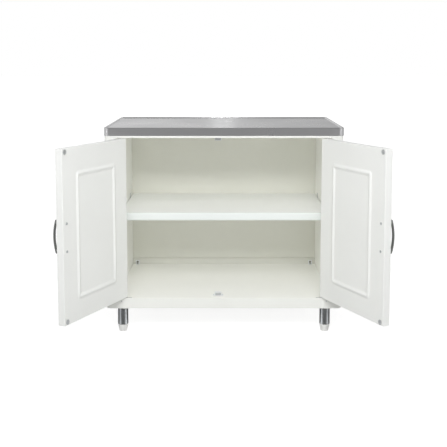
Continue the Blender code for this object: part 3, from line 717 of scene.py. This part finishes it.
for side, sign in SIDES:
    low, high = (Vector(corner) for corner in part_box(side + "_corner_bracket"))
    angle = [
        (high.y, low.z, 0.0016),
        (high.y, high.z, 0.0004),
        (high.y - STRIP, high.z, 0.0004),
        (high.y - STRIP, low.z + STRIP, 0.0004),
        (low.y, low.z + STRIP, 0.0004),
        (low.y, low.z, 0.0004),
    ]
    mesh = bmesh.new()
    outline = softened(angle, closed=True)
    skin(mesh, [[mesh.verts.new((x, y, z)) for y, z in outline] for x in (low.x, high.x)])
    middle = (low.x + high.x) / 2
    reach = (STRIP + high.z - low.z) / 2
    places = [
        facing((middle, high.y - reach, low.z + STRIP), (0, 0, 1)),
        facing((middle, high.y - STRIP, low.z + reach), (0, -1, 0)),
    ]
    bracket = make_piece("moulded_bracket_" + side, mesh, abs_white, cuts=screw_holes(places))
    stand_for(bracket, "case", "white_plastic", side + "_corner_bracket")
    mesh = bmesh.new()
    add_copies(mesh, pan_head, places)
    stand_for(make_piece("bracket_screws_" + side, mesh, phosphated), "case", "zinc_hardware")


# Shelf. A loose fibreboard shelf in white foil, with a rounded ABS edging glued on at the front, lies on four
# angle clips of zinc-plated strip whose pegs sit in holes in the sides.

SHELF_ROUND = 0.005
EDGING = 0.006
SEAM = 0.00005  # between the board and its edging
CLIP_EASE = 0.0003
STRIP_ROUND = STRIP * 0.45  # of the clips' bend and upper edge
PEG_LENGTH = 0.008
RIVET_RADIUS = 0.0034
RIVET_HEIGHT = 0.0001
SIDE_THICK = 0.045

# The shelf's foil is from another batch: a trace whiter and cooler than the case, with the same satin and peel.
shelf_foil = grained_finish(
    "satin_foil_on_shelf",
    tints=("#F8F9F8", "#FAFBFB"),
    cloud=(0.160, 3.0),
    grain=(0.003, 2.0),
    gloss=(0.38, 0.48),
    relief=0.00003,
    shader={"IOR": 1.5},
)

# ABS edging, extruded and buffed at its corners: cooler than the foil, and darker than the shelf's top as painted
# shade on the shelf's front face, with draw lines along it that are a few hundredths of a millimetre apart and are
# drawn 1 mm apart so that they show.
edging = grained_finish(
    "extruded_abs_edging",
    tints=("#E8EDEB", "#ECF1EF"),
    grain=((0.120, 0.001, 0.001), 3.0),
    gloss=(0.34, 0.42),
    relief=0.00002,
    shader={"IOR": 1.53},
)

low, high = (Vector(corner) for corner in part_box("shelf"))
for name, way, finish in (("foiled_shelf", -1, shelf_foil), ("shelf_front_edging", 1, edging)):
    mesh = bmesh.new()
    add_slab(mesh, rectangle(low, high), low.z, high.z)
    ease(mesh, SHELF_ROUND, 6)
    seam = (0, low.y + EDGING + (SEAM if way < 0 else 0), 0)
    shape = mesh.verts[:] + mesh.edges[:] + mesh.faces[:]
    bmesh.ops.bisect_plane(mesh, geom=shape, plane_co=seam, plane_no=(0, way, 0), clear_outer=True)
    bmesh.ops.holes_fill(mesh, edges=[edge for edge in mesh.edges if edge.is_boundary])
    stand_for(make_piece(name, mesh, finish), "shelf", "shelf_board", "shelf")

for side, sign in SIDES:
    for row, y in clip_rows.items():
        node = "shelf_clip_" + row + "_" + side
        low, high = (Vector(corner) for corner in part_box(node))
        wall = (floor_high.x - SIDE_THICK) - SLACK
        foot = min(abs(low.x), abs(high.x))
        angle = [
            (wall, high.z, STRIP_ROUND),
            (wall, low.z, STRIP_ROUND),
            (foot, low.z, 0.0004),
            (foot, low.z + STRIP, 0.0004),
            (wall - STRIP, low.z + STRIP, 0.0004),
            (wall - STRIP, high.z, STRIP_ROUND),
        ]
        mesh = bmesh.new()
        outline = softened(angle, closed=True)
        skin(mesh, [[mesh.verts.new((sign * x, end, z)) for x, z in outline] for end in (low.y, high.y)])
        ease(mesh, CLIP_EASE, 2)
        peg = [
            (0, -STRIP / 2, 0),
            (PIN_RADIUS, -STRIP / 2, 0),
            (PIN_RADIUS, PEG_LENGTH, 0.0006),
            (0, PEG_LENGTH, 0),
        ]
        add_turned(mesh, softened(peg), facing((sign * wall, y, peg_level), (sign, 0, 0)), steps=32)
        rivet = [
            (0, STRIP / 2),
            (RIVET_RADIUS, STRIP / 2),
            (RIVET_RADIUS, STRIP + RIVET_HEIGHT / 2),
            (0, STRIP + RIVET_HEIGHT),
        ]
        add_turned(mesh, rivet, facing((sign * wall, y, peg_level), (-sign, 0, 0)), steps=32)
        clip = make_piece("bent_shelf_clip_" + row + "_" + side, mesh, zinc)
        stand_for(clip, "case", "zinc_hardware", node)


# Magnetic catches. A white ABS housing under the roof board and one on the floor board hold a bonded magnet
# between two steel pole plates, a little proud of the housing, and are screwed on through their ears.

HOUSING_WALL = 0.0025  # at each side of the magnet
HOUSING_EASE = 0.0012
EAR_HEIGHT = 0.0035
EAR_SETBACK = 0.002
EAR_ROUND = 0.0035
EAR_ROOT = 0.0003  # the round where an ear meets the housing
EAR_EASE = 0.0005
WELL_EASE = 0.0001
MAGNET_EASE = 0.0002
POLE_EASE = 0.0003
POLE_THICK = 0.0012
POLE_PROUD = 0.0006  # before the magnet

# Magnet powder bonded in pale nylon: light grey and dull, with a gritty grain that is drawn 0.6 mm wide.
bonded = grained_finish(
    "nylon_bonded_magnet",
    tints=("#B6B7B8", "#C6C7C8"),
    grain=(0.0006, 3.0),
    gloss=(0.50, 0.68),
    relief=0.00004,
    shader={"IOR": 1.5},
)


def add_block(mesh, low, high, width, steps=3):
    """Adds a block between two corners, with its edges rounded."""
    block = bmesh.new()
    add_slab(block, rectangle(low, high), low[2], high[2])
    ease(block, width, steps)
    data = as_data("block", block)
    mesh.from_mesh(data)
    bpy.data.meshes.remove(data)


for end, up in (("lower", 1), ("upper", -1)):
    low, high = (Vector(corner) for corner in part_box(end + "_catch"))
    magnet_low, magnet_high = (Vector(corner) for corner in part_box(end + "_catch_magnet"))
    ear = (high.x - low.x - (magnet_high.x - magnet_low.x) - 2 * HOUSING_WALL) / 2
    mesh = bmesh.new()
    add_block(mesh, (low.x + ear, low.y, low.z), (high.x - ear, high.y, high.z), HOUSING_EASE)
    well = bmesh.new()
    room = Vector((SLACK, SLACK, SLACK))
    add_block(well, magnet_low - room, magnet_high + room, WELL_EASE, 1)
    housing = make_piece("abs_catch_housing_" + end, mesh, abs_white, cuts=well)
    stand_for(housing, "case", "white_plastic", end + "_catch")
    seat = low.z if up == 1 else high.z
    z0, z1 = sorted((seat, seat + up * EAR_HEIGHT))
    for hand, x0, x1 in (("left", low.x, low.x + ear), ("right", high.x - ear, high.x)):
        mesh = bmesh.new()
        left, right = (EAR_ROUND, EAR_ROOT) if hand == "left" else (EAR_ROOT, EAR_ROUND)
        near, far = (x0, low.y + EAR_SETBACK), (x1, high.y - EAR_SETBACK)
        add_slab(mesh, rectangle(near, far, (left, right, right, left)), z0, z1)
        ease(mesh, EAR_EASE, 2)
        spot = facing(((x0 + x1) / 2, (low.y + high.y) / 2, seat + up * EAR_HEIGHT), (0, 0, up))
        name = end + "_" + hand
        piece = make_piece("abs_catch_ear_" + name, mesh, abs_white, cuts=screw_holes([spot]))
        stand_for(piece, "case", "white_plastic")
        fit_screws("catch_screw_" + name, [spot], "case")

    mesh = bmesh.new()
    core_low = (magnet_low.x, magnet_low.y + POLE_PROUD, magnet_low.z + POLE_THICK)
    core_high = (magnet_high.x, magnet_high.y, magnet_high.z - POLE_THICK)
    add_block(mesh, core_low, core_high, MAGNET_EASE, 2)
    core = make_piece("bonded_magnet_" + end, mesh, bonded)
    stand_for(core, "case", "magnet", end + "_catch_magnet")
    mesh = bmesh.new()
    for z0 in (magnet_low.z, magnet_high.z - POLE_THICK):
        plate_low = (magnet_low.x, magnet_low.y, z0)
        add_block(mesh, plate_low, (magnet_high.x, magnet_high.y, z0 + POLE_THICK), POLE_EASE, 2)
    stand_for(make_piece("pole_plates_" + end, mesh, zinc), "case", "zinc_hardware")


# Worktop. A cap of 2 mm stainless sheet, pressed over the roof board and glued: a low raised rim runs round the
# work surface, and the lip is turned down 30 mm over the case's edges, with welded and ground corners.

SHEET = 0.002
CORNER_ROUND = 0.022
REAR_ROUND = 0.0035
RIM_WIDTH = 0.007
RIM_SLOPE = 0.004
RIM_HEIGHT = 0.0032
FLAT = 0.006  # of the work surface that is drawn with the rim's section
EDGE = 0.0003  # the deburred edge of the lip

# Stainless steel sheet, brushed from left to right with 240 grit: satin grey, its lights drawn out across the
# brushing. The scratches are 0.1 mm apart, and drawn 0.8 mm apart and 90 mm long so that they show.
steel = grained_finish(
    "brushed_stainless_steel",
    tints=("#B0B0B1", "#BEBEBF"),
    cloud=(0.200, 3.0),
    grain=((0.090, 0.0008, 0.0008), 4.0),
    by=("grain", "cloud"),
    gloss=(0.26, 0.31),
    relief=0.000006,
    tangent={"direction_type": "UV_MAP", "uv_map": "brushing"},
    shader={"Metallic": 1.0, "Anisotropic": 0.4, "Anisotropic Rotation": 0.25},
)

low, high = (Vector(corner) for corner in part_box("worktop"))
surface = high.z - RIM_HEIGHT
outside = softened(
    [
        (0, low.z, 0),
        (0, high.z, 0.0025),
        (RIM_WIDTH, high.z, 0.0012),
        (RIM_WIDTH + RIM_SLOPE, surface, 0.0015),
        (RIM_WIDTH + RIM_SLOPE + FLAT, surface, 0),
    ],
    steps=8,
)
inside = [
    (RIM_WIDTH + RIM_SLOPE, surface - SHEET),
    (RIM_WIDTH, high.z - SHEET),
    (SHEET, high.z - SHEET),
    (SHEET, low.z + EDGE),
    (SHEET - EDGE, low.z),
    (EDGE, low.z),
]
outside[0] = (0, low.z + EDGE)
mesh = bmesh.new()
rings = []
for inset, height in (*reversed(outside), *reversed(inside)):
    near, far = (low.x + inset, low.y + inset), (high.x - inset, high.y - inset)
    radii = [max(radius - inset, EDGE) for radius in (CORNER_ROUND, CORNER_ROUND, REAR_ROUND, REAR_ROUND)]
    rings.append([mesh.verts.new((x, y, height)) for x, y in rectangle(near, far, radii, 16)])
skin(mesh, rings)

# The brushing runs along each face's longer way, which its tangent needs to know.
brushing = mesh.loops.layers.uv.new("brushing")
for face in mesh.faces:
    face.normal_update()
    along = 1 if abs(face.normal.x) > 0.7 else 0
    across = 1 - along if abs(face.normal.z) > 0.5 else 2
    for loop in face.loops:
        loop[brushing].uv = (loop.vert.co[along], loop.vert.co[across])
stand_for(make_piece("pressed_worktop", mesh, steel), "case", "satin_worktop", "worktop")


# Doors. Each is fibreboard with a raised bead routed round the field of both faces, foil pressed over it in one
# go, so every edge is soft. It hangs on leaves let into its top and bottom edges, and carries two strikes.

DOOR_OPEN = math.radians(115.7)
DOOR_LOW = 0.148
DOOR_HIGH = 0.754
DOOR_ENDS = (("lower", DOOR_LOW, -1), ("upper", DOOR_HIGH, 1))
DOOR_WIDTH = 0.3982
DOOR_THICK = 0.028
DOOR_EASE = 0.002
PIN_INSET = 0.010
PIN_BACK = 0.006
BEAD_WIDTH = 0.024
BEAD_HEIGHT = 0.004
SIDE_BORDER = 0.074
HEAD_BORDER = 0.081
FOOT_BORDER = 0.071
BEAD_ROUND = 0.018  # of the bead's outer foot, at the corners of the field
BEAD_SHARP = 0.0005  # of its inner foot there
DOOR_SHARP = 0.0001  # of the door's faces at their corners
STRIKE_RADIUS = 0.0088
STRIKE_THICK = 0.0015
STRIKE_INSET = 0.0155
STRIKE_EDGE = 0.012
BEAD_STEPS = 16
EASE_STEPS = 4
FREE_EDGE = DOOR_WIDTH - PIN_INSET
INNER_FACE = DOOR_THICK - PIN_BACK

# The doors' foil, thicker and pressed hot over the bead: the cleanest white on the cabinet, satin, with the
# same orange peel as the boards.
door_foil = grained_finish(
    "satin_foil_on_doors",
    tints=("#ECEDEB", "#F0F1EF"),
    cloud=(0.180, 3.0),
    grain=(0.003, 2.0),
    gloss=(0.34, 0.44),
    relief=0.00003,
    shader={"IOR": 1.5},
)


def add_ring(mesh, low, high, radius, y):
    """Adds a ring of points round a rectangle with round corners, in an upright plane."""
    return [mesh.verts.new((x, y, z)) for x, z in rectangle(low, high, [radius] * 4)]


def door_mesh(x0, x1):
    """The door's slab: rings from the field of its outer face, round its edge, to that of its inner face."""
    mesh = bmesh.new()
    beads = {}
    for out, face in ((-1, -PIN_BACK), (1, INNER_FACE)):
        beads[out] = []
        for step in range(BEAD_STEPS + 1):
            inset = BEAD_WIDTH * step / BEAD_STEPS
            rise = BEAD_HEIGHT * (1 - math.cos(2 * math.pi * step / BEAD_STEPS)) / 2
            low = (x0 + SIDE_BORDER + inset, DOOR_LOW + FOOT_BORDER + inset)
            high = (x1 - SIDE_BORDER - inset, DOOR_HIGH - HEAD_BORDER - inset)
            beads[out].append(add_ring(mesh, low, high, max(BEAD_ROUND - inset, BEAD_SHARP), face + out * rise))
    rings = list(reversed(beads[-1]))
    for face, way in ((-PIN_BACK, 1), (INNER_FACE, -1)):
        edge = []
        for step in range(EASE_STEPS + 1):
            turn = math.pi / 2 * step / EASE_STEPS
            inset = DOOR_EASE * (1 - math.sin(turn))
            low, high = (x0 + inset, DOOR_LOW + inset), (x1 - inset, DOOR_HIGH - inset)
            depth = face + way * DOOR_EASE * (1 - math.cos(turn))
            edge.append(add_ring(mesh, low, high, max(DOOR_EASE - inset, DOOR_SHARP), depth))
        rings.extend(edge if way == 1 else reversed(edge))
    rings.extend(beads[1])
    skin(mesh, rings)
    return mesh


door_places = {}
for side, sign in SIDES:
    inward = -sign
    place = Matrix.Translation((*pin_at[side], 0)) @ Matrix.Rotation(sign * DOOR_OPEN, 4, "Z")
    door_places[side] = place
    body = side + "_door"
    x0, x1 = sorted((-inward * PIN_INSET, inward * FREE_EDGE))
    pockets = bmesh.new()
    for end, face, up in DOOR_ENDS:
        deep = face - up * (LEAF_THICK + SLACK)
        add_slab(pockets, leaf_outline(inward, SLACK, (0, 0)), *sorted((deep, face + up * OVERRUN)))
    door = make_piece("foiled_" + side + "_door", door_mesh(x0, x1), door_foil, place, pockets)
    stand_for(door, body, "painted_door", side + "_door")

    for end, face, up in DOOR_ENDS:
        name = side + "_" + end
        mesh, places = leaf_mesh(inward, (0, 0), face, up)
        holes = screw_holes(places)
        radius = PIN_RADIUS + SLACK
        above, below = face + OVERRUN, face - OVERRUN
        eye = ((0, above), (radius, above), (radius, below), (0, below))
        add_turned(holes, eye, steps=32)
        leaf = make_piece("let_in_door_leaf_" + name, mesh, zinc, place, holes)
        stand_for(leaf, body, "zinc_hardware", name + "_door_leaf")
        fit_screws("door_leaf_screws_" + name, places, body, place)

    for end, z in (("lower", DOOR_LOW + STRIKE_EDGE), ("upper", DOOR_HIGH - STRIKE_EDGE)):
        name = side + "_" + end
        spot = facing((inward * (FREE_EDGE - STRIKE_INSET), INNER_FACE + SLACK, z), (0, 1, 0))
        mesh = bmesh.new()
        disc = [
            (0, 0, 0),
            (STRIKE_RADIUS, 0, 0),
            (STRIKE_RADIUS, STRIKE_THICK, 0.0006),
            (0, STRIKE_THICK, 0),
        ]
        add_turned(mesh, softened(disc), spot, steps=64)
        head = spot @ Matrix.Translation((0, 0, STRIKE_THICK))
        strike = make_piece("pressed_strike_" + name, mesh, zinc, place, screw_holes([head]))
        stand_for(strike, body, "zinc_hardware", name + "_strike")
        fit_screws("strike_screw_" + name, [head], body, place)


# Handles. An arched bar of oval section on two turned posts, cast in zinc and finished dark and satin, stands
# on each door's outer face; two pan-headed screws hold it from the inner face.

HANDLE_INSET = 0.020
HANDLE_CENTRES = 0.096
BAR_HALF = 0.059
BAR_REACH = 0.0265
BAR_ARCH = 0.180
BAR_WIDTH = 0.012
BAR_THICK = 0.007
BAR_TIP = 0.004
BAR_RINGS = 64
BAR_POINTS = 32
POST_RADIUS = 0.0045
POST_FOOT = 0.006
POST_FLARE = 0.0025  # height of the post's foot

# Die-cast zinc, tumbled and finished in dark satin nickel: neutral grey with soft wide lights, and the faint
# mottle of the tumbling, a millimetre or two across.
nickel = grained_finish(
    "dark_satin_nickel",
    tints=("#8E908E", "#9C9E9C"),
    grain=(0.0015, 3.0),
    gloss=(0.34, 0.42),
    relief=0.00001,
    shader={"Metallic": 1.0},
)


def bar_middle(height):
    """How far the bar's middle line stands off the door at a height from the handle's middle."""
    return BAR_REACH - BAR_THICK / 2 - (BAR_ARCH - math.sqrt(BAR_ARCH**2 - height**2))


for side, sign in SIDES:
    inward = -sign
    body = side + "_door"
    place = door_places[side]
    middle = (DOOR_LOW + DOOR_HIGH) / 2
    spot = Matrix.Translation((inward * (FREE_EDGE - HANDLE_INSET), -PIN_BACK - SLACK, middle))
    mesh = bmesh.new()
    rings = []
    for step in range(1, BAR_RINGS):
        height = -BAR_HALF * math.cos(math.pi * step / BAR_RINGS)
        past = max(0.0, abs(height) - (BAR_HALF - BAR_TIP)) / BAR_TIP
        share = math.sqrt(1 - past**2)
        tilt = math.asin(height / BAR_ARCH)
        across = Vector((0, -math.cos(tilt), math.sin(tilt)))
        ring = []
        for corner in range(BAR_POINTS):
            turn = 2 * math.pi * corner / BAR_POINTS
            point = Vector((share * BAR_WIDTH / 2 * math.cos(turn), -bar_middle(height), height))
            ring.append(mesh.verts.new(point + across * (share * BAR_THICK / 2 * math.sin(turn))))
        rings.append(ring)
    skin(mesh, rings)
    top = bar_middle(HANDLE_CENTRES / 2)
    for level in (-HANDLE_CENTRES / 2, HANDLE_CENTRES / 2):
        post = [
            (0, 0, 0),
            (POST_FOOT, 0, 0.0002),
            (POST_FOOT, POST_FLARE / 2, 0.0006),
            (POST_RADIUS, POST_FLARE, 0.0008),
            (POST_RADIUS, top - BAR_THICK / 2, 0),
            (POST_RADIUS, top, 0),
            (0, top, 0),
        ]
        add_turned(mesh, softened(post), facing((0, 0, level), (0, -1, 0)), steps=48)
    handle = make_piece("cast_" + side + "_handle", mesh, nickel, place @ spot)
    stand_for(handle, body, "dark_handle", side + "_handle")
    for end, level in (("lower", -HANDLE_CENTRES / 2), ("upper", HANDLE_CENTRES / 2)):
        mesh = bmesh.new()
        head = facing((0, DOOR_THICK + 2 * SLACK, level), (0, 1, 0))
        add_copies(mesh, pan_head, [head])
        screw = make_piece("pan_head_screw_" + side + "_" + end, mesh, zinc, place @ spot)
        stand_for(screw, body, "zinc_hardware", side + "_handle_screw_" + end)


# Room. A pale matt floor without an edge in sight under a white background. Soft lamps in front, above and behind
# light the cabinet without being mirrored; metal mirrors the room, two tall strip lamps at the sides, three narrow
# slot lamps that draw the light spot on the worktop, and low lamps at the front legs.


def studio_level(tree, direction):
    """How bright polished metal finds the studio in a direction: white behind the cabinet, whiter to the left
    there, bright at its sides, and darker straight in front, where the camera is, and overhead."""
    way = add_node(tree, "SeparateXYZ", {0: direction})
    behind = add_node(tree, "Math", {0: way.outputs["Y"], 1: 0.0}, operation="MAXIMUM")
    aside = add_node(tree, "Math", {0: way.outputs["X"], 1: behind}, operation="MULTIPLY")
    level = None
    for value, start, end, first, last in (
        (way.outputs["Y"], -1.0, -0.75, 0.57, 1.1),  # in front, then at the sides
        (way.outputs["Y"], 0.6, 0.9, 1.0, 0.91),  # behind
        (aside, -0.2, 0.2, 1.06, 0.70),  # behind, from the left to the right
        (way.outputs["Z"], 0.3, 0.7, 1.0, 0.35),  # overhead
    ):
        inputs = {0: value, 1: start, 2: end, 3: first, 4: last}
        step = add_node(tree, "MapRange", inputs, interpolation_type="SMOOTHSTEP")
        level = step if level is None else add_node(tree, "Math", {0: level, 1: step}, operation="MULTIPLY")
    return level


def ray_kinds(tree):
    """Whether a ray is the camera's, and whether metal or clear plastic sent it."""
    ray = add_node(tree, "LightPath", {}).outputs
    rays = {0: ray["Is Glossy Ray"], 1: ray["Is Transmission Ray"]}
    return ray["Is Camera Ray"], add_node(tree, "Math", rays, operation="MAXIMUM")


# Matt floor paint: pale grey for the lamps, and for metal close to it. The camera sees it with a glow just below
# white added, so that only the cabinet's soft shadow shows, and metal finds its far parts as bright as the room.
matt, tree, where = new_finish("matt_floor_paint")
cloud = add_node(tree, "TexNoise", {"Vector": where, "Scale": 1 / 0.5, "Detail": 2.0})
tint = add_node(tree, "Mix", {0: cloud, 6: linear("#DFDFDE"), 7: linear("#E1E1E0")}, data_type="RGBA")
faint = add_node(tree, "Mix", {0: cloud, 6: linear("#A6A6A6"), 7: linear("#A8A8A8")}, data_type="RGBA")
paint = add_node(tree, "BsdfDiffuse", {"Color": tint.outputs[2], "Roughness": 0.5})
lit = add_node(tree, "BsdfDiffuse", {"Color": faint.outputs[2], "Roughness": 0.5})
reach = add_node(tree, "VectorMath", {0: where}, operation="LENGTH").outputs["Value"]
near = {0: reach, 1: 1.5, 2: 5.0, 3: 0.84, 4: 1.0}
white = add_node(tree, "MapRange", near, interpolation_type="SMOOTHSTEP")
glow = add_node(tree, "Emission", {"Color": linear("#FFFFFF"), "Strength": white})
pale = add_node(tree, "AddShader", {0: lit, 1: glow})
beyond = {0: reach, 1: 0.65, 2: 1.1, 3: 0.0, 4: 1.0}
far = add_node(tree, "MapRange", beyond, interpolation_type="SMOOTHSTEP")
level = studio_level(tree, add_node(tree, "VectorMath", {0: where}, operation="NORMALIZE"))
distant = add_node(tree, "Emission", {"Color": linear("#FFFFFF"), "Strength": level})
direct, glossy = ray_kinds(tree)
share = add_node(tree, "Math", {0: glossy, 1: far}, operation="MULTIPLY")
painted = add_node(tree, "MixShader", {0: share, 1: paint, 2: distant})
seen = add_node(tree, "MixShader", {0: direct, 1: painted, 2: pale})
add_node(tree, "OutputMaterial", {0: seen})

FLOOR_HALF = 40.0
FLOOR_DROP = 0.0002  # below the feet
mesh = bmesh.new()
outline = rectangle((-FLOOR_HALF, -FLOOR_HALF), (FLOOR_HALF, FLOOR_HALF))
mesh.faces.new([mesh.verts.new((x, y, 0)) for x, y in outline])
make_piece("studio_floor", mesh, matt, Matrix.Translation((0, 0, -FLOOR_DROP)))

# The room is even for paint and plastic, white for the camera, and as the studio is for metal.
world = bpy.data.worlds.new("studio")
bpy.context.scene.world = world
world.use_nodes = True
tree = world.node_tree
tree.nodes.clear()
direct, glossy = ray_kinds(tree)
level = studio_level(tree, add_node(tree, "TexCoord", {}).outputs["Generated"])
plain = add_node(tree, "Background", {"Color": linear("#FFFFFF"), "Strength": 0.4})
mirrored = add_node(tree, "Background", {"Color": linear("#FFFFFF"), "Strength": level})
backdrop = add_node(tree, "Background", {"Color": linear("#FFFFFF"), "Strength": 1.0})
room = add_node(tree, "MixShader", {0: glossy, 1: plain, 2: mirrored})
seen = add_node(tree, "MixShader", {0: direct, 1: room, 2: backdrop})
add_node(tree, "OutputWorld", {0: seen})

# Two low lamps lie on the floor in front of each front leg, facing up with their long side across, and draw the
# bright streaks on its chrome; they light the tubes alone.
LOW_LAMP_AWAY = 0.25
LOW_LAMP_SIZE = (0.08, 0.4)
LOW_LAMP_LEVEL = 0.001
low_lamps = []
tubes = bpy.data.collections.new("front_leg_tubes")
for side, sign in SIDES:
    tubes.objects.link(bpy.data.objects["chromed_leg_tube_front_" + side])
    low, high = (Vector(corner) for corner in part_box("leg_tube_front_" + side))
    for flank, angle, power in (("outside", -57, 0.23), ("inside", 73, 0.34)):
        turn = math.radians(angle) * sign
        away = Vector((-math.sin(turn), -math.cos(turn), 0))
        point = Vector(((low.x + high.x) / 2, (low.y + high.y) / 2, LOW_LAMP_LEVEL)) + LOW_LAMP_AWAY * away
        target = point + Vector((0, 0, 1)) + 1e-4 * away  # a hair off upright, which turns the lamp to its leg
        low_lamps.append(("low_lamp_%s_%s" % (side, flank), power, *LOW_LAMP_SIZE, point, target))

# The name of each lamp, its watts, its width and height, its place and where it points.
for name, power, width, height, point, target in [
    ("wide_lamp_in_front", 28, 2.4, 0.4, (0, -3.2, 2.1), (0, 0.1, 0.45)),
    ("near_lamp_in_front", 8, 1.0, 0.3, (0, -2.0, 1.52), (0, 0.1, 0.45)),
    ("high_lamp_in_front", 16.5, 1.6, 0.6, (0, -2.0, 2.1), (0, 0.1, 0.45)),
    ("lamp_above", 3.6, 2.4, 1.0, (0, -0.7, 2.8), (0, 0.1, 0.45)),
    ("wide_lamp_behind", 14, 2.4, 1.2, (0, 3.2, 2.2), (0, 0, 0.45)),
    ("strip_lamp_left", 4.3, 0.15, 2.2, (-2.5, -1.6, 1.15), (0, 0, 1.15)),
    ("strip_lamp_right", 3.7, 0.15, 2.2, (2.5, -1.6, 1.15), (0, 0, 1.15)),
    ("slot_lamp_behind_left", 0.12, 0.02, 1.0, (-0.043, 3.0, 1.6), (0, 0.1, 0.79)),
    ("slot_lamp_behind_right", 0.12, 0.02, 1.0, (0.031, 3.0, 1.6), (0, 0.1, 0.79)),
    ("slot_lamp_above", 1.8, 0.03, 1.2, (-0.006, 0.9, 2.6), (-0.006, 0.42, 0.79)),
] + low_lamps:
    lamp = bpy.data.lights.new(name, "AREA")
    lamp.shape = "RECTANGLE"
    lamp.size = width
    lamp.size_y = height
    lamp.energy = power
    made = bpy.data.objects.new(name, lamp)
    bpy.context.scene.collection.objects.link(made)
    made.location = point
    made.rotation_euler = (Vector(target) - Vector(point)).to_track_quat("-Z", "Y").to_euler()
    made.visible_camera = False
    made.visible_glossy = name.startswith(("strip", "slot", "low"))
    if name.startswith("low"):
        made.light_linking.receiver_collection = tubes

# Light has to reach the back of white compartments, so it bounces more often than Blender's four times.
bpy.context.scene.cycles.diffuse_bounces = 12


# Camera. The photograph was taken from the front, a little above the cabinet and tilted down, and cropped
# below its middle, so the lens is shifted.
camera = bpy.data.cameras.new("camera")
camera.lens = 68.34
camera.sensor_width = 36
camera.shift_x = -0.0008
camera.shift_y = -0.1756
viewpoint = bpy.data.objects.new("camera", camera)
bpy.context.scene.collection.objects.link(viewpoint)
viewpoint.location = (0, -3.251865, 1.0598)
viewpoint.rotation_euler = (math.radians(90 - 5.97), 0, 0)
bpy.context.scene.camera = viewpoint
bpy.context.scene.view_settings.view_transform = "Standard"
